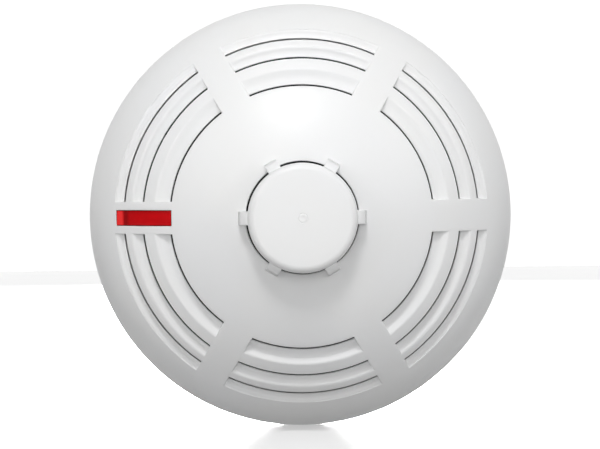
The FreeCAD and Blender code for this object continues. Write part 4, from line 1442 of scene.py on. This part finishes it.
@dataclass
class Lamp:
    """A soft rectangular lamp."""

    name: str
    place: Corner
    power: float
    size: Tuple[float, float] = (400.0, 400.0)
    target: Corner = (0.0, -30.0, 0.0)

    def build(self) -> None:
        """Adds the lamp, aimed at its target."""
        data = bpy.data.lights.new(self.name, "AREA")
        data.shape = "RECTANGLE"
        data.size, data.size_y = self.size[0] * MM, self.size[1] * MM
        data.energy = self.power
        lamp = bpy.data.objects.new(self.name, data)
        lamp.location = Vector(self.place) * MM
        lamp.rotation_euler = (Vector(self.target) * MM - lamp.location).to_track_quat("-Z", "Y").to_euler()
        bpy.context.scene.collection.objects.link(lamp)


@dataclass
class Studio:
    """White floor, white backdrop, soft lamps and the camera."""

    floor_height: float
    distance: float = 590.0
    elevation: float = math.radians(1.45)
    azimuth: float = math.radians(-0.85)
    roll: float = math.radians(0.56)
    field_width: float = 154.1
    drop: float = 2.62
    aside: float = -0.04
    rim_plane: float = 16.0
    ambient: float = 0.28
    floor_span: Corner = (900.0, -500.0, 900.0)
    backdrop_span: Corner = (2500.0, -1500.0, 2500.0)
    backdrop_place: float = 880.0

    def build_stage(self) -> None:
        """Adds the floor and the backdrop."""
        floor = self.sheet("floor", self.floor_span, flat=True)
        floor.data.materials.append(StudioSurface("floor_board", glow=0.26, mirror=0.25).material())
        backdrop = self.sheet("backdrop", self.backdrop_span, flat=False)
        paper = StudioSurface("backdrop_paper", glow=1.05, mirror=0.0, tint=(0.0, 0.0, 0.0))
        backdrop.data.materials.append(paper.material())
        backdrop.visible_shadow = False

    def sheet(self, name: str, span: Corner, flat: bool) -> bpy.types.Object:
        """One flat sheet of the stage.

        Args:
            name: The sheet's name.
            span: How far it reaches to each side, and its near or lower edge and its far or upper edge.
            flat: Whether it lies as the floor or stands behind the detector.

        Returns:
            The sheet.
        """
        side, low, high = span
        corners = ((-side, low), (side, low), (side, high), (-side, high))
        if flat:
            points = [Vector((x, y, self.floor_height)) for x, y in corners]
        else:
            points = [Vector((x, self.backdrop_place, z)) for x, z in corners]
        mesh = bpy.data.meshes.new(name)
        mesh.from_pydata([point * MM for point in points], [], [(0, 1, 2, 3)])
        piece = bpy.data.objects.new(name, mesh)
        bpy.context.scene.collection.objects.link(piece)
        piece.visible_diffuse = False
        return piece

    def build_light(self) -> None:
        """Adds the lamps and the even light of the room."""
        lamps = [
            Lamp("key_above", (-40.0, -520.0, 540.0), 2.1, (160.0, 120.0)),
            Lamp("fill_front", (-40.0, -900.0, 60.0), 2.05, (500.0, 500.0)),
            Lamp("fill_left", (-520.0, -520.0, 250.0), 0.84),
            Lamp("fill_right", (520.0, -520.0, 380.0), 0.5),
            Lamp("edge_right", (700.0, -330.0, 300.0), 0.9),
            Lamp("back", (0.0, 700.0, 40.0), 1.8, (200.0, 160.0), (0.0, 0.0, 0.0)),
        ]
        for lamp in lamps:
            lamp.build()
        world = bpy.data.worlds.new("room")
        world.use_nodes = True
        background = world.node_tree.nodes["Background"]
        background.inputs["Color"].default_value = (1.0, 1.0, 1.0, 1.0)
        background.inputs["Strength"].default_value = self.ambient
        bpy.context.scene.world = world
        bpy.context.scene.view_settings.view_transform = "Standard"

    def build_camera(self) -> None:
        """Adds the camera, a long lens almost square to the detector's face."""
        data = bpy.data.cameras.new("camera")
        data.sensor_width = 36.0
        data.lens = data.sensor_width * self.distance / self.field_width
        data.clip_start, data.clip_end = 0.01, 20.0
        camera = bpy.data.objects.new("camera", data)
        back = Vector((
            math.sin(self.azimuth) * math.cos(self.elevation),
            -math.cos(self.azimuth) * math.cos(self.elevation),
            math.sin(self.elevation),
        ))
        aim = Vector((self.aside, -self.rim_plane, -self.drop)) * MM
        camera.location = aim + back * (self.distance * MM)
        camera.rotation_mode = "QUATERNION"
        level = (-back).to_track_quat("-Z", "Y")
        camera.rotation_quaternion = level @ Matrix.Rotation(-self.roll, 4, "Z").to_quaternion()
        bpy.context.scene.collection.objects.link(camera)
        bpy.context.scene.camera = camera

    def build(self) -> None:
        """Makes the whole studio."""
        self.build_stage()
        self.build_light()
        self.build_camera()


def main() -> None:
    """Builds the detector and its studio."""
    logging.basicConfig(level=logging.INFO, format="%(name)s: %(message)s")
    head = Head()
    finishes = make_finishes(head.guide.outer)
    head.build(finishes)
    dress_nodes(finishes)
    Studio(floor_height=CAD_BOX[0].z / MM).build()


if __name__ == "__main__":
    main()
